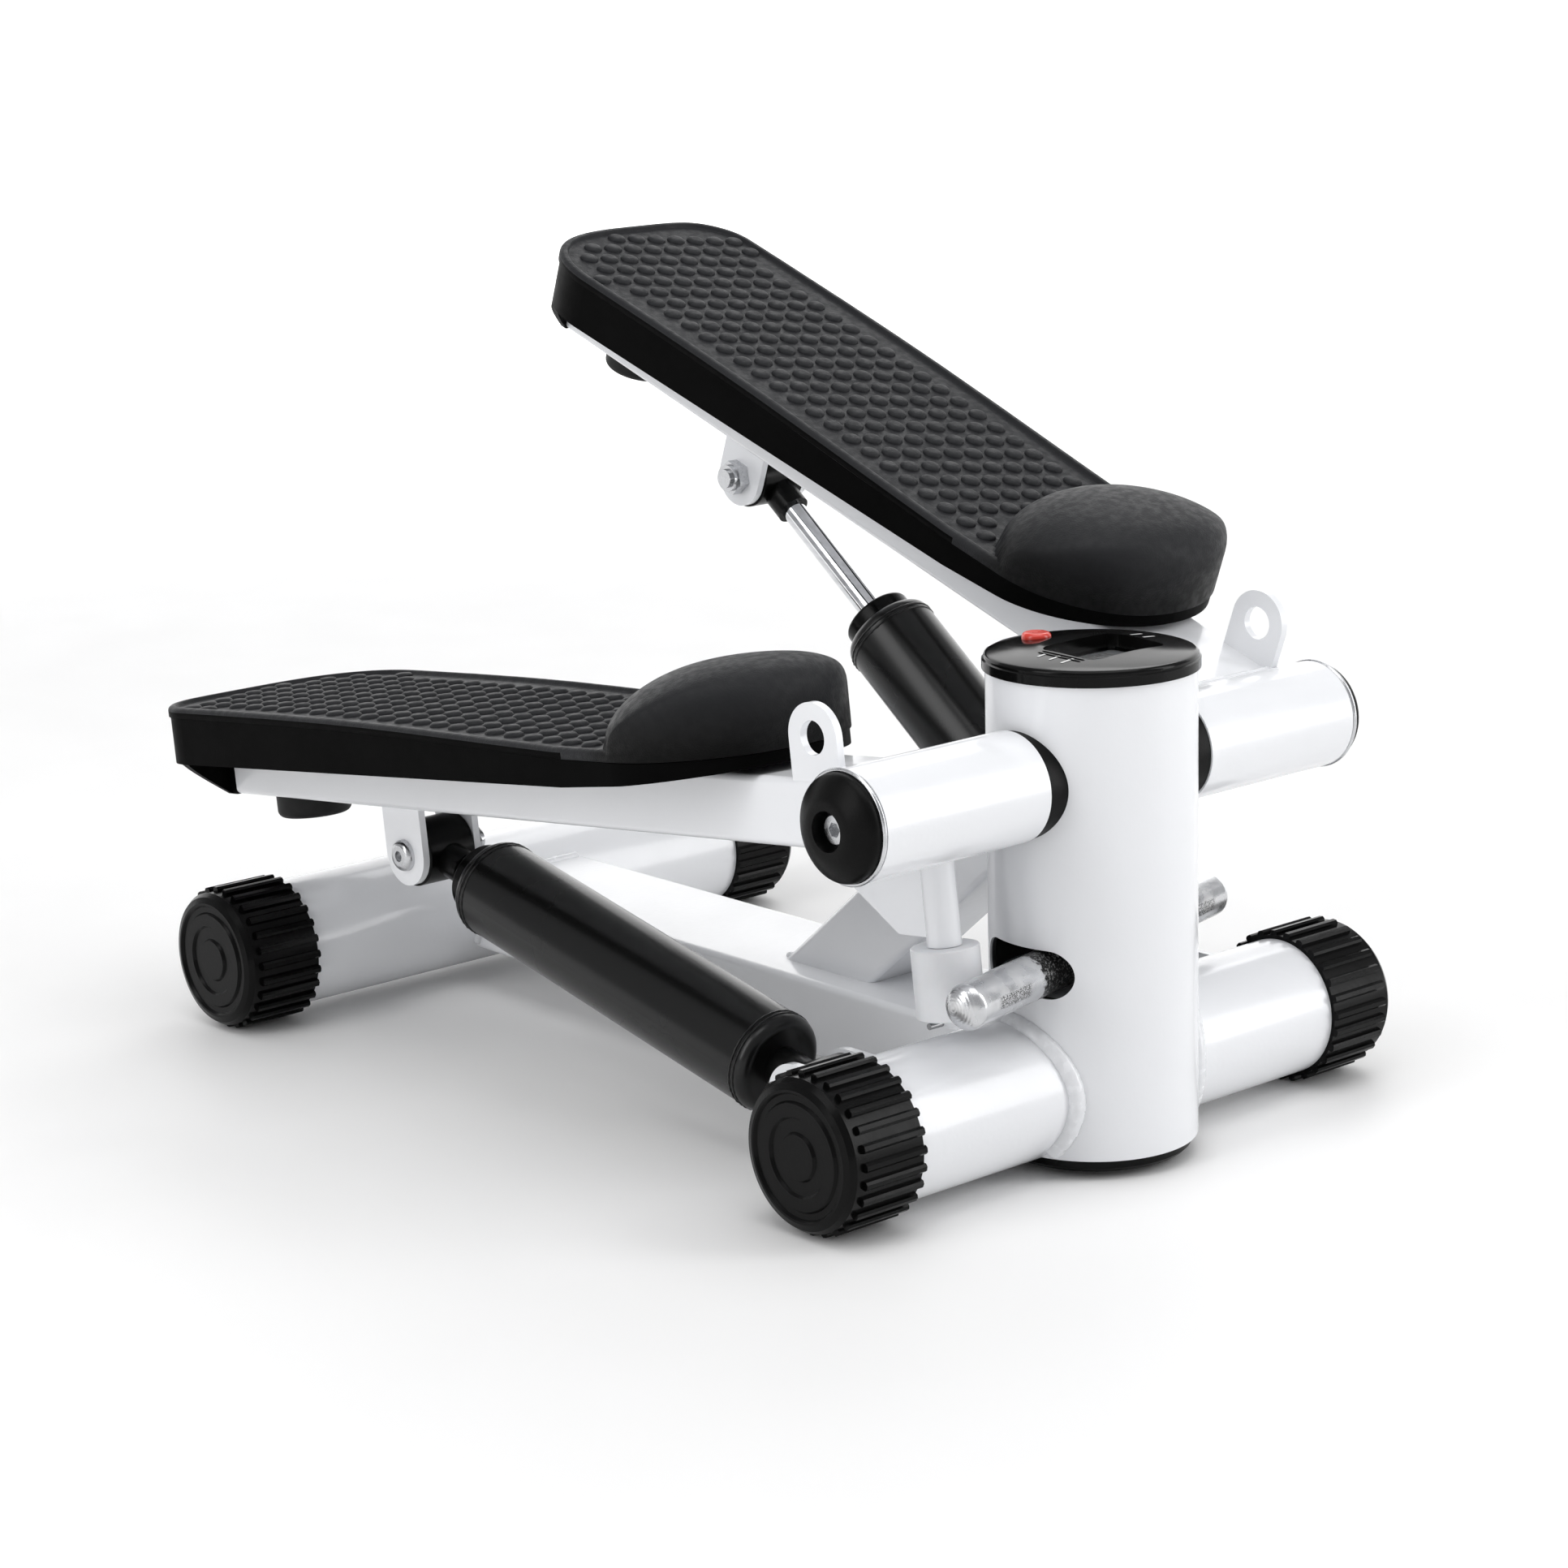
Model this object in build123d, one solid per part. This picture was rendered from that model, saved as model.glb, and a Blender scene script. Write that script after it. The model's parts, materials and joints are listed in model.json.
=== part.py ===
from build123d import *
import os
from math import atan2, cos, degrees, hypot, radians, sin

# Twin-pedal stepper. Millimetres, +Z up. The column stands at the front (-Y) and the pedals
# reach back (+Y). Everything is drawn about the column's axis, with the floor at Z = 0, and is
# moved at the end so that the origin is the bottom centre of the whole machine's box.
# The two sides mirror each other: parts are drawn for the right side (+X) and mirrored.

# ---- driving dimensions ----------------------------------------------------------------

# column
COLUMN_R = 38.05
COLUMN_WALL = 2.5
COLUMN_BOTTOM = 7.5
COLUMN_TOP = 181.0

# floor frame
AXLE_HEIGHT = 29.7           # centre height of both cross tubes
CROSS_TUBE_R = 26.3
CROSS_TUBE_WALL = 2.0
FRONT_Y = 4.8
REAR_Y = 360.7
FRONT_HALF = 141.1           # column axis to the outer face of a front foot
REAR_HALF = 147.8
BEAM_WIDTH = 60.0
BEAM_HEIGHT = 30.0
BEAM_WALL = 2.0
BRACE_SIZE = 32.0
BRACE_WALL = 2.0
BRACE_ANGLE = 40.0
BRACE_FOOT_Y = 153.0         # where the brace's upper face meets the beam

# feet
FOOT_RIB_R = AXLE_HEIGHT
FOOT_FACE_R = 27.9
FOOT_LENGTH = 34.0
FOOT_FACE_THICKNESS = 5.0
FOOT_RIBS = 27
FOOT_RIB_DEPTH = 1.9
FOOT_CORE_R = FOOT_RIB_R - FOOT_RIB_DEPTH

# pivot
PIVOT_Y = -0.5
PIVOT_Z = 143.8
PIVOT_TUBE_R = 20.2
PIVOT_TUBE_WALL = 3.0
PIVOT_INNER = 41.3           # column axis to a pivot tube's inner end
PIVOT_OUTER = 118.8
PIVOT_GAP = 0.3
PIVOT_AXLE_R = 8.0
PIVOT_WASHER = 1.5
RUNNING_CLEARANCE = 0.05
PIVOT_BOLT_R = 5.0

# arms, in the arm's own frame: Y along the arm from the pivot, Z square to it
LEFT_ANGLE = -6.4            # the lowered side
RIGHT_ANGLE = 19.8           # the raised side
ARM_INNER = 63.5
ARM_OUTER = 108.5
ARM_BELOW = 12.0
ARM_ABOVE = 13.0
ARM_WALL = 2.0
ARM_END = 399.5
ARM_CENTRE = (ARM_INNER + ARM_OUTER) / 2
BUMPER_X = 87.5
BUMPER_Y = 374.0
BUMPER_R = 15.5
BUMPER_DEPTH = 10.5

# roller that pushes the rocker bar
POST_X = 67.0
POST_Y = 14.0
POST_R = 6.2
SPINDLE_R = 5.0
ROLLER_R = 12.4
ROLLER_TOP = -53.0
ROLLER_LENGTH = 25.4
ROLLER_GAP = 0.25

# rocker bar
ROCKER_Z = 76.0
ROCKER_R = 8.3
ROCKER_HALF = 89.5
ROCKER_REST = 13.3           # left end swung forward
ROCKER_PIN_R = 4.0
SLOT_HEIGHT = 17.8
SLOT_HALF = 21.5

# resistance-band eyelet
LUG_HOLE = (26.6, 27.6)
LUG_HOLE_R = 6.2
LUG_R = 12.5
LUG_THICKNESS = 3.0

# dampers
DAMPER_X = 90.0
UPPER_PIN = (287.0, -31.5)   # in the arm's frame
LOWER_PIN = (48.0, 31.0)     # in the floor frame
EAR_R = 12.5
EAR_THICKNESS = 3.0
EAR_GAP = 22.4
BARREL_LENGTH = 22.0
BARREL_R = 13.4
BARREL_BORE_R = 7.0          # open play round the upper bolt
LOWER_BARREL_R = 12.5
BOLT_R = 4.0
CYLINDER_R = 19.3
CYLINDER_WALL = 2.0
CYLINDER_FOOT = 23.0         # lower pin to the cylinder's closed end
GLAND_R = 14.5
GLAND_SPIGOT_R = 11.5
GLAND_LENGTH = 7.0
ROD_R = 5.0
ROD_EYE_R = 7.0
ROD_EYE_REACH = 23.0         # upper pin to the end of the rod eye's collar
ROD_SHOWING = 8.0            # bare rod on the lowered side
PISTON_R = CYLINDER_R - CYLINDER_WALL - 0.06
PISTON_LENGTH = 12.0

# pedals, in the arm's frame
PEDAL_X = 90.0
PEDAL_REAR_HALF = 54.0
PEDAL_FRONT_HALF = 50.5
PEDAL_REAR = 406.5
PEDAL_TOE = 53.0
TREAD_FRONT = (122.0, 25.2)  # just behind the toe stop
TREAD_MIDDLE = (250.0, 30.0)
TREAD_REAR = (420.0, 31.2)
COVER_THICKNESS = 4.5
SKIRT_REAR_Z = 7.0
SKIRT_FRONT_Z = 10.5
SKIRT_WALL = 2.6
TOE_LIP_Z = 19.0
TOE_STOP_Y = 78.0
TOE_ROUND = 17.0
TOE_STOP_SIZE = (56.0, 51.0, 27.3)  # half axes of the rounded toe stop
BORDER_WIDTH = 4.0
BORDER_DEPTH = 1.6
PEDAL_SCREW_Y = (150.0, 250.0, 350.0)
PEDAL_SCREW_R = 2.5

# console
CAP_R = 39.2
CAP_TOP = 189.5
CAP_RIM_TOP = 186.6
WINDOW_CENTRE_Y = -6.0
WINDOW_SIZE = (30.0, 21.0)
BAY_SIZE = (38.0, 27.0)
BAY_FLOOR = 185.2
BUTTON_CENTRE = (-3.0, 24.5)
BUTTON_R = 5.4
BUTTON_TOP = 190.4


# ---- helpers ---------------------------------------------------------------------------

def rod_x(radius, x0, x1, y=0.0, z=0.0):
    return Pos((x0 + x1) / 2, y, z) * Rot(0, 90, 0) * Cylinder(radius, x1 - x0)


def rod_z(radius, z0, z1, x=0.0, y=0.0):
    return Pos(x, y, (z0 + z1) / 2) * Cylinder(radius, z1 - z0)


def block(x0, x1, y0, y1, z0, z1):
    centre = Pos((x0 + x1) / 2, (y0 + y1) / 2, (z0 + z1) / 2)
    return centre * Box(x1 - x0, y1 - y0, z1 - z0)


def plate_yz(points, x0, x1):
    outline = make_face(Polyline(*points, close=True))
    return extrude(Plane.YZ.offset(x0) * outline, x1 - x0)


def turned(points, plane=Plane.XZ, axis=Axis.Z):
    return revolve(plane * make_face(Polyline(*points, close=True)), axis)


def group(solids):
    return Compound(children=list(solids))


def both_sides(part):
    return group([part, mirror(part, Plane.YZ)])


def arm_frame(angle):
    return Pos(0, PIVOT_Y, PIVOT_Z) * Rot(angle, 0, 0)


def place_arm_part(part, side):
    """Put a part drawn in the right arm's frame on the arm of one side."""
    if side == "left":
        return arm_frame(LEFT_ANGLE) * mirror(part, Plane.YZ)
    return arm_frame(RIGHT_ANGLE) * part


def upper_pin_world(angle):
    y, z = UPPER_PIN
    a = radians(angle)
    return PIVOT_Y + y * cos(a) - z * sin(a), PIVOT_Z + y * sin(a) + z * cos(a)


def damper_line(angle):
    """Length and slope of the damper between its pins, for one arm angle."""
    y, z = upper_pin_world(angle)
    dy = y - LOWER_PIN[0]
    dz = z - LOWER_PIN[1]
    return hypot(dy, dz), degrees(atan2(dz, dy))


LEFT_LENGTH = damper_line(LEFT_ANGLE)[0]
CYLINDER_TOP = LEFT_LENGTH - ROD_EYE_REACH - ROD_SHOWING - GLAND_LENGTH


def place_damper_part(part, side):
    """Damper parts are drawn along +Y from the lower pin, on the right side."""
    angle = LEFT_ANGLE if side == "left" else RIGHT_ANGLE
    slope = damper_line(angle)[1]
    placed = Pos(0, *LOWER_PIN) * Rot(slope, 0, 0) * part
    return mirror(placed, Plane.YZ) if side == "left" else placed


# ---- floor frame -----------------------------------------------------------------------

def column_solid():
    return rod_z(COLUMN_R, COLUMN_BOTTOM, COLUMN_TOP)


def cross_tube(half, y):
    """Floor tube whose ends reach the inside of the foot faces."""
    end = half - FOOT_FACE_THICKNESS
    tube = rod_x(CROSS_TUBE_R, -end, end, y, AXLE_HEIGHT)
    return tube - rod_x(CROSS_TUBE_R - CROSS_TUBE_WALL, -end, end, y, AXLE_HEIGHT)


def spine_beam():
    low = AXLE_HEIGHT - BEAM_HEIGHT / 2
    high = AXLE_HEIGHT + BEAM_HEIGHT / 2
    half = BEAM_WIDTH / 2
    outer = block(-half, half, 15, REAR_Y, low, high)
    outer = fillet(outer.edges().filter_by(Axis.Y), 3.0)
    wall = BEAM_WALL
    inner = block(-half + wall, half - wall, 15, REAR_Y, low + wall, high - wall)
    column = rod_z(COLUMN_R, 0, 100)
    front = rod_x(CROSS_TUBE_R, -50, 50, FRONT_Y, AXLE_HEIGHT)
    rear = rod_x(CROSS_TUBE_R, -50, 50, REAR_Y, AXLE_HEIGHT)
    return outer - inner - column - front - rear


def slot_cutter():
    """Level slot through both walls of the column, round at its ends."""
    r = SLOT_HEIGHT / 2
    flat = block(-50, 50, -(SLOT_HALF - r), SLOT_HALF - r, ROCKER_Z - r, ROCKER_Z + r)
    ends = [rod_x(r, -50, 50, y, ROCKER_Z) for y in (-(SLOT_HALF - r), SLOT_HALF - r)]
    return flat + ends


def column_tube():
    bore = rod_z(COLUMN_R - COLUMN_WALL, COLUMN_BOTTOM - 1, COLUMN_TOP + 1)
    cross = rod_x(CROSS_TUBE_R, -60, 60, FRONT_Y, AXLE_HEIGHT)
    axle = rod_x(PIVOT_AXLE_R, -60, 60, PIVOT_Y, PIVOT_Z)
    return column_solid() - bore - cross - slot_cutter() - axle


def column_brace():
    beam_top = AXLE_HEIGHT + BEAM_HEIGHT / 2
    tilt = Pos(0, BRACE_FOOT_Y, beam_top) * Rot(-BRACE_ANGLE, 0, 0)
    half = BRACE_SIZE / 2
    inside = half - BRACE_WALL
    length = 240.0
    outer = block(-half, half, -length, 80, -BRACE_SIZE, 0)
    outer = fillet(outer.edges().filter_by(Axis.Y), 2.5)
    inner = block(-inside, inside, -length, 80, -BRACE_SIZE + BRACE_WALL, -BRACE_WALL)
    tube = tilt * (outer - inner)
    keep = block(-40, 40, 0, 260, beam_top, 200)
    return (tube & keep) - rod_z(COLUMN_R, 0, 220)


def column_floor_plug():
    r = COLUMN_R - COLUMN_WALL
    flange = rod_z(r, COLUMN_BOTTOM - 5.0, COLUMN_BOTTOM)
    flange = chamfer(flange.edges().group_by(Axis.Z)[0], 1.5)
    spigot = rod_z(r, COLUMN_BOTTOM, COLUMN_BOTTOM + 6)
    tube = rod_x(CROSS_TUBE_R, -60, 60, FRONT_Y, AXLE_HEIGHT)
    return flange + spigot - tube


def foot_cap():
    """Right-hand foot with its outer face at X = 0 and its axis on X."""
    inner_r = CROSS_TUBE_R
    start = -FOOT_FACE_THICKNESS
    profile = [
        (-FOOT_LENGTH, inner_r), (-FOOT_LENGTH, FOOT_CORE_R), (-3.0, FOOT_CORE_R),
        (-0.9, FOOT_FACE_R - 1.6), (0.0, FOOT_FACE_R - 4.0), (0.0, 23.0), (-1.0, 22.2),
        (-1.0, 20.0), (0.0, 19.2), (0.0, 14.5), (-1.0, 13.7), (-1.0, 9.0), (0.0, 8.2),
        (0.0, 0.0), (start, 0.0), (start, inner_r),
    ]
    body = turned(profile, Plane.XY, Axis.X)
    rib_width = 3.2
    rib_x0 = -FOOT_LENGTH
    rib_x1 = -6.0
    bar = block(rib_x0, rib_x1, -rib_width / 2, rib_width / 2, FOOT_CORE_R - 1.0, FOOT_RIB_R)
    bar = chamfer(bar.edges().group_by(Axis.Z)[-1].filter_by(Axis.X), 0.8)
    trim = rod_x(FOOT_RIB_R, -60, 5) - rod_x(inner_r, -60, 5)
    step = 360 / FOOT_RIBS
    ribs = [Rot(180 + i * step, 0, 0) * bar for i in range(FOOT_RIBS)]
    return body + [rib & trim for rib in ribs]


def place_foot(side, half, y):
    foot = Pos(half, y, AXLE_HEIGHT) * foot_cap()
    return mirror(foot, Plane.YZ) if side == "left" else foot


# ---- pivot -----------------------------------------------------------------------------

AXLE_END = PIVOT_OUTER + PIVOT_GAP


def pivot_axle():
    shaft = rod_x(PIVOT_AXLE_R, -AXLE_END, AXLE_END, PIVOT_Y, PIVOT_Z)
    tapped = rod_x(PIVOT_BOLT_R, AXLE_END - 22, AXLE_END, PIVOT_Y, PIVOT_Z)
    return shaft - tapped - mirror(tapped, Plane.YZ)


def pivot_spacers():
    outer = PIVOT_INNER - PIVOT_GAP
    ring = rod_x(PIVOT_TUBE_R - 0.6, 28, outer, PIVOT_Y, PIVOT_Z)
    hole = rod_x(PIVOT_AXLE_R, 28, outer, PIVOT_Y, PIVOT_Z)
    return both_sides(ring - hole - column_solid())


def pivot_end_caps():
    x0 = AXLE_END + PIVOT_WASHER
    profile = [(0.0, 7.2), (0.0, 19.3), (1.2, 19.3)]
    dome = Spline((1.2, 19.3), (4.6, 17.2), (7.2, 12.6), (8.2, 7.2), tangents=[(1, 0), (0, -1)])
    edge = Polyline(*reversed(profile)) + Line((0.0, 7.2), (8.2, 7.2))
    face = make_face(Wire(list(edge.edges()) + [dome]))
    cap = Pos(x0, PIVOT_Y, PIVOT_Z) * revolve(face, Axis.X)
    return both_sides(cap)


def pivot_bolts():
    """Retaining washer and socket-head bolt at each end of the axle."""
    x0 = AXLE_END
    x1 = x0 + PIVOT_WASHER
    washer = rod_x(19.9, x0, x1, PIVOT_Y, PIVOT_Z) - rod_x(PIVOT_BOLT_R, x0, x1, PIVOT_Y, PIVOT_Z)
    shank = rod_x(PIVOT_BOLT_R, x0 - 20, x1, PIVOT_Y, PIVOT_Z)
    head = rod_x(5.6, x1, x1 + 4.4, PIVOT_Y, PIVOT_Z)
    head = chamfer(head.edges().group_by(Axis.X)[-1], 0.6)
    socket = extrude(Plane.YZ.offset(x1 + 2.2) * RegularPolygon(2.8, 6), 5.0)
    head = head - Pos(0, PIVOT_Y, PIVOT_Z) * socket
    bolt = head + shank
    return group([washer, bolt, mirror(washer, Plane.YZ), mirror(bolt, Plane.YZ)])


# ---- rocker ----------------------------------------------------------------------------

def rocker_bar():
    half = ROCKER_HALF
    r = ROCKER_R
    straight = rod_x(r, -(half - 5), half - 5)
    tip = Pos(half - 5, 0, 0) * scale(Sphere(r), (5 / r, 1, 1))
    bar = straight + tip + mirror(tip, Plane.YZ)
    bore = rod_z(ROCKER_PIN_R + RUNNING_CLEARANCE, -20, 20)
    return Pos(0, 0, ROCKER_Z) * Rot(0, 0, ROCKER_REST) * (bar - bore)


def rocker_plate_z():
    """Heights of the lower and upper pin plates inside the column."""
    gap = ROCKER_R + 1.0
    return [(ROCKER_Z - gap - 3, ROCKER_Z - gap), (ROCKER_Z + gap, ROCKER_Z + gap + 3)]


def rocker_plates():
    r = COLUMN_R - COLUMN_WALL
    plates = [rod_z(r, z0, z1) - rod_z(ROCKER_PIN_R, z0, z1) for z0, z1 in rocker_plate_z()]
    return group(plates)


def rocker_pin():
    (low, _), (_, high) = rocker_plate_z()
    return rod_z(ROCKER_PIN_R, low, high) + rod_z(ROCKER_PIN_R + 3, high, high + 4)


# ---- arms ------------------------------------------------------------------------------

def pivot_tube():
    inner = PIVOT_TUBE_R - PIVOT_TUBE_WALL
    return rod_x(PIVOT_TUBE_R, PIVOT_INNER, PIVOT_OUTER) - rod_x(inner, PIVOT_INNER, PIVOT_OUTER)


def pivot_bushes():
    outer = PIVOT_TUBE_R - PIVOT_TUBE_WALL
    bore = PIVOT_AXLE_R + RUNNING_CLEARANCE
    length = 16.0
    spans = ((PIVOT_INNER, PIVOT_INNER + length), (PIVOT_OUTER - length, PIVOT_OUTER))
    return group([rod_x(outer, a, b) - rod_x(bore, a, b) for a, b in spans])


def arm_solid():
    bar = block(ARM_INNER, ARM_OUTER, 0, ARM_END, -ARM_BELOW, ARM_ABOVE)
    return fillet(bar.edges().filter_by(Axis.Y), 2.5)


def pedal_screw_holes(z0, z1):
    return [rod_z(PEDAL_SCREW_R, z0, z1, ARM_CENTRE, y) for y in PEDAL_SCREW_Y]


def arm_tube():
    w = ARM_WALL
    inner = block(ARM_INNER + w, ARM_OUTER - w, 0, ARM_END, -ARM_BELOW + w, ARM_ABOVE - w)
    tube = arm_solid() - inner - rod_x(PIVOT_TUBE_R, 30, 130)
    return tube - pedal_screw_holes(ARM_ABOVE - w, ARM_ABOVE)


def arm_gusset():
    low = -50.2
    outline = [(POST_Y, low), (35.3, low), (90.0, -ARM_BELOW), (POST_Y, -ARM_BELOW)]
    plate = plate_yz(outline, POST_X - 2, POST_X + 2)
    return plate - rod_x(PIVOT_TUBE_R, 30, 130) - rod_z(POST_R, -80, 0, POST_X, POST_Y)


def roller_post():
    shoulder = ROLLER_TOP + ROLLER_GAP
    end = ROLLER_TOP - ROLLER_LENGTH - 3.6
    post = rod_z(POST_R, shoulder, -5, POST_X, POST_Y)
    spindle = rod_z(SPINDLE_R, end, shoulder, POST_X, POST_Y)
    spindle = chamfer(spindle.edges().group_by(Axis.Z)[0], 0.8)
    pin_hole = rod_x(1.2, POST_X - 10, POST_X + 10, POST_Y, split_pin_height())
    post = post - rod_x(PIVOT_TUBE_R, 30, 130) - arm_solid()
    return post + (spindle - pin_hole)


def split_pin_height():
    return ROLLER_TOP - ROLLER_LENGTH - ROLLER_GAP - 1.4


def split_pin():
    z = split_pin_height()
    shank = rod_x(1.2, POST_X - 8.5, POST_X + 11, POST_Y, z)
    eye = Pos(POST_X - 10.6, POST_Y, z) * Torus(2.0, 0.9)
    return shank + eye


def roller():
    bottom = ROLLER_TOP - ROLLER_LENGTH
    body = rod_z(ROLLER_R, bottom, ROLLER_TOP, POST_X, POST_Y)
    rims = body.edges().filter_by(GeomType.CIRCLE)
    body = chamfer(rims, 0.4)
    return body - rod_z(SPINDLE_R + RUNNING_CLEARANCE, bottom, ROLLER_TOP, POST_X, POST_Y)


def eyelet_lug():
    y, z = LUG_HOLE
    x1 = ARM_OUTER - 0.6
    x0 = x1 - LUG_THICKNESS
    plate = rod_x(LUG_R, x0, x1, y, z) + block(x0, x1, y - LUG_R, y + LUG_R, ARM_ABOVE - 4, z)
    return plate - rod_x(LUG_HOLE_R, x0, x1, y, z) - arm_solid() - rod_x(PIVOT_TUBE_R, 30, 130)


def upper_clevis():
    y, z = UPPER_PIN
    ears = []
    for x0 in (DAMPER_X - EAR_GAP / 2 - EAR_THICKNESS, DAMPER_X + EAR_GAP / 2):
        x1 = x0 + EAR_THICKNESS
        ear = rod_x(EAR_R, x0, x1, y, z) + block(x0, x1, y - EAR_R, y + EAR_R, z, -ARM_BELOW)
        ears.append(ear - rod_x(BOLT_R, x0, x1, y, z))
    return group(ears)


def clevis_fasteners(y, z):
    """Button-head bolt from the outer side with a lock nut on the inner side."""
    outer = DAMPER_X + EAR_GAP / 2 + EAR_THICKNESS
    inner = DAMPER_X - EAR_GAP / 2 - EAR_THICKNESS
    head = rod_x(6.4, outer, outer + 3.4, y, z)
    head = fillet(head.edges().group_by(Axis.X)[-1], 2.6)
    head = head - rod_x(2.2, outer + 1.4, outer + 4, y, z)
    bolt = head + rod_x(BOLT_R, inner - 8.5, outer, y, z)
    hexagon = extrude(Plane.YZ.offset(inner - 5.0) * RegularPolygon(7.2, 6), 5.0)
    nut = Pos(0, y, z) * hexagon + rod_x(5.6, inner - 7.0, inner - 5.0, y, z)
    nut = nut - rod_x(BOLT_R, inner - 10, inner, y, z)
    return group([bolt, nut])


def arm_bumper():
    """Rubber stop under the end of the arm."""
    body = rod_z(BUMPER_R, -ARM_BELOW - BUMPER_DEPTH, -ARM_BELOW, BUMPER_X, BUMPER_Y)
    return fillet(body.edges().group_by(Axis.Z)[0], 3.0)


# ---- pedals ----------------------------------------------------------------------------

def pedal_outline(inset=0.0):
    """Plan of the pedal: bowed heel, squarer at its outer corner, straight sides, round toe."""
    rear = PEDAL_REAR_HALF - inset
    front = PEDAL_FRONT_HALF - inset
    heel = PEDAL_REAR - inset
    toe = PEDAL_TOE + inset
    outer_corner = (rear, 380.0)
    inner_corner = (-rear, 362.0)
    side_y = 100.0
    outer_heel = Spline(outer_corner, (rear * 0.86, heel - 8.0), (0, heel),
                        tangents=[(0.02, 1), (-1, 0)])
    inner_heel = Spline(inner_corner, (-rear * 0.8, heel - 13.0), (0, heel),
                        tangents=[(-0.02, 1), (1, 0)])
    right_toe = Spline((front, side_y), (front * 0.72, toe + 14.5), (0, toe),
                       tangents=[(-0.05, -1), (-1, 0)])
    sides = Line((front, side_y), outer_corner) + Line((-front, side_y), inner_corner)
    edges = outer_heel.edges() + inner_heel.edges() + sides.edges() + right_toe.edges()
    return Pos(PEDAL_X, 0, 0) * make_face(edges + mirror(right_toe, Plane.YZ).edges())


def tread_line(drop=0.0):
    """Side profile of the tread: gently crowned along its length, flat under the toe stop."""
    (y0, z0), (y1, z1), (y2, z2) = TREAD_FRONT, TREAD_MIDDLE, TREAD_REAR
    crown = Spline((y0, z0 - drop), (y1, z1 - drop), (y2, z2 - drop), tangents=[(1, 0.03), (1, 0)])
    return Line((20, z0 - drop), (y0, z0 - drop)) + crown


def slab(inset, low, high):
    """Pedal outline between two side profiles that run from the toe to the heel."""
    prism = extrude(Pos(0, 0, -30) * pedal_outline(inset), 120)
    toe_edge = Line(low @ 0, high @ 0)
    heel_edge = Line(low @ 1, high @ 1)
    side = make_face(low.edges() + heel_edge.edges() + high.edges() + toe_edge.edges())
    return prism & extrude(Plane.YZ * side, 200)


def skirt_line():
    heel = TREAD_REAR[0]
    return Polyline((20, TOE_LIP_Z), (95, 12.6), (130, SKIRT_FRONT_Z), (heel, SKIRT_REAR_Z))


def pedal_base():
    heel = TREAD_REAR[0]
    deck = COVER_THICKNESS + 3.0
    shell = slab(0.6, skirt_line(), tread_line(COVER_THICKNESS))
    shell = shell - slab(0.6 + SKIRT_WALL, Polyline((20, -20), (heel, -20)), tread_line(deck))
    pad = block(ARM_INNER + 4, ARM_OUTER - 4, 75, ARM_END, ARM_ABOVE, 60)
    pad = pad & slab(1.0, Polyline((20, 0), (heel, 0)), tread_line(deck - 0.3))
    return shell + pad + heel_panel() - pedal_screw_holes(ARM_ABOVE - 1, ARM_ABOVE + 6) - arm_solid()


def heel_panel():
    """Rear wall of the skirt, drawn down to a point each side so that it hides the arm's end."""
    heel = TREAD_REAR[0]
    top = SKIRT_REAR_Z + 3.0
    rear = PEDAL_REAR_HALF - 4.0
    low_line = Polyline((20, -ARM_BELOW), (heel, -ARM_BELOW))
    high_line = Polyline((20, top), (heel, top))
    solid = slab(0.6, low_line, high_line)
    wall = solid - slab(0.6 + SKIRT_WALL, low_line, high_line)
    closing = solid & block(ARM_INNER, ARM_OUTER, ARM_END, heel, -ARM_BELOW, top)
    taper = [(PEDAL_X - rear, top), (PEDAL_X + rear, top), (ARM_OUTER, -ARM_BELOW), (ARM_INNER, -ARM_BELOW)]
    outline = make_face(Plane.XZ.offset(-370.0) * Polyline(*taper, close=True))
    return (wall + closing) & extrude(outline, 60, dir=(0, 1, 0))


def toe_stop():
    """Rounded stop over the whole toe, cut to the pedal's plan."""
    wide, long, high = TOE_STOP_SIZE
    low = TREAD_FRONT[1] - 2.8
    top = TREAD_FRONT[1] + high + 0.5
    dome = Pos(PEDAL_X, TOE_STOP_Y, TREAD_FRONT[1]) * scale(Sphere(high), (wide / high, long / high, 1))
    plan = slab(0.0, Polyline((20, low), (420, low)), Polyline((20, top), (420, top)))
    plan = fillet(plan.edges().group_by(Axis.Z)[-1], TOE_ROUND)
    return dome & plan


def pedal_cover():
    cover = slab(0.0, tread_line(COVER_THICKNESS), tread_line())
    above = Polyline((20, 60), (TREAD_REAR[0], 60))
    recess = slab(BORDER_WIDTH, tread_line(BORDER_DEPTH), above)
    behind_toe = block(0, 200, TREAD_FRONT[0] - 8, 500, 0, 100)
    return cover - (recess & behind_toe)


def pedal_tread():
    return pedal_cover() + toe_stop()


def pedal_screws():
    screws = []
    for y in PEDAL_SCREW_Y:
        shank = rod_z(PEDAL_SCREW_R, ARM_ABOVE - ARM_WALL, ARM_ABOVE + 5, ARM_CENTRE, y)
        head = rod_z(4.8, ARM_ABOVE - ARM_WALL - 3.2, ARM_ABOVE - ARM_WALL, ARM_CENTRE, y)
        screws.append(fillet(head.edges().group_by(Axis.Z)[0], 1.4) + shank)
    return group(screws)


# ---- dampers ---------------------------------------------------------------------------

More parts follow.
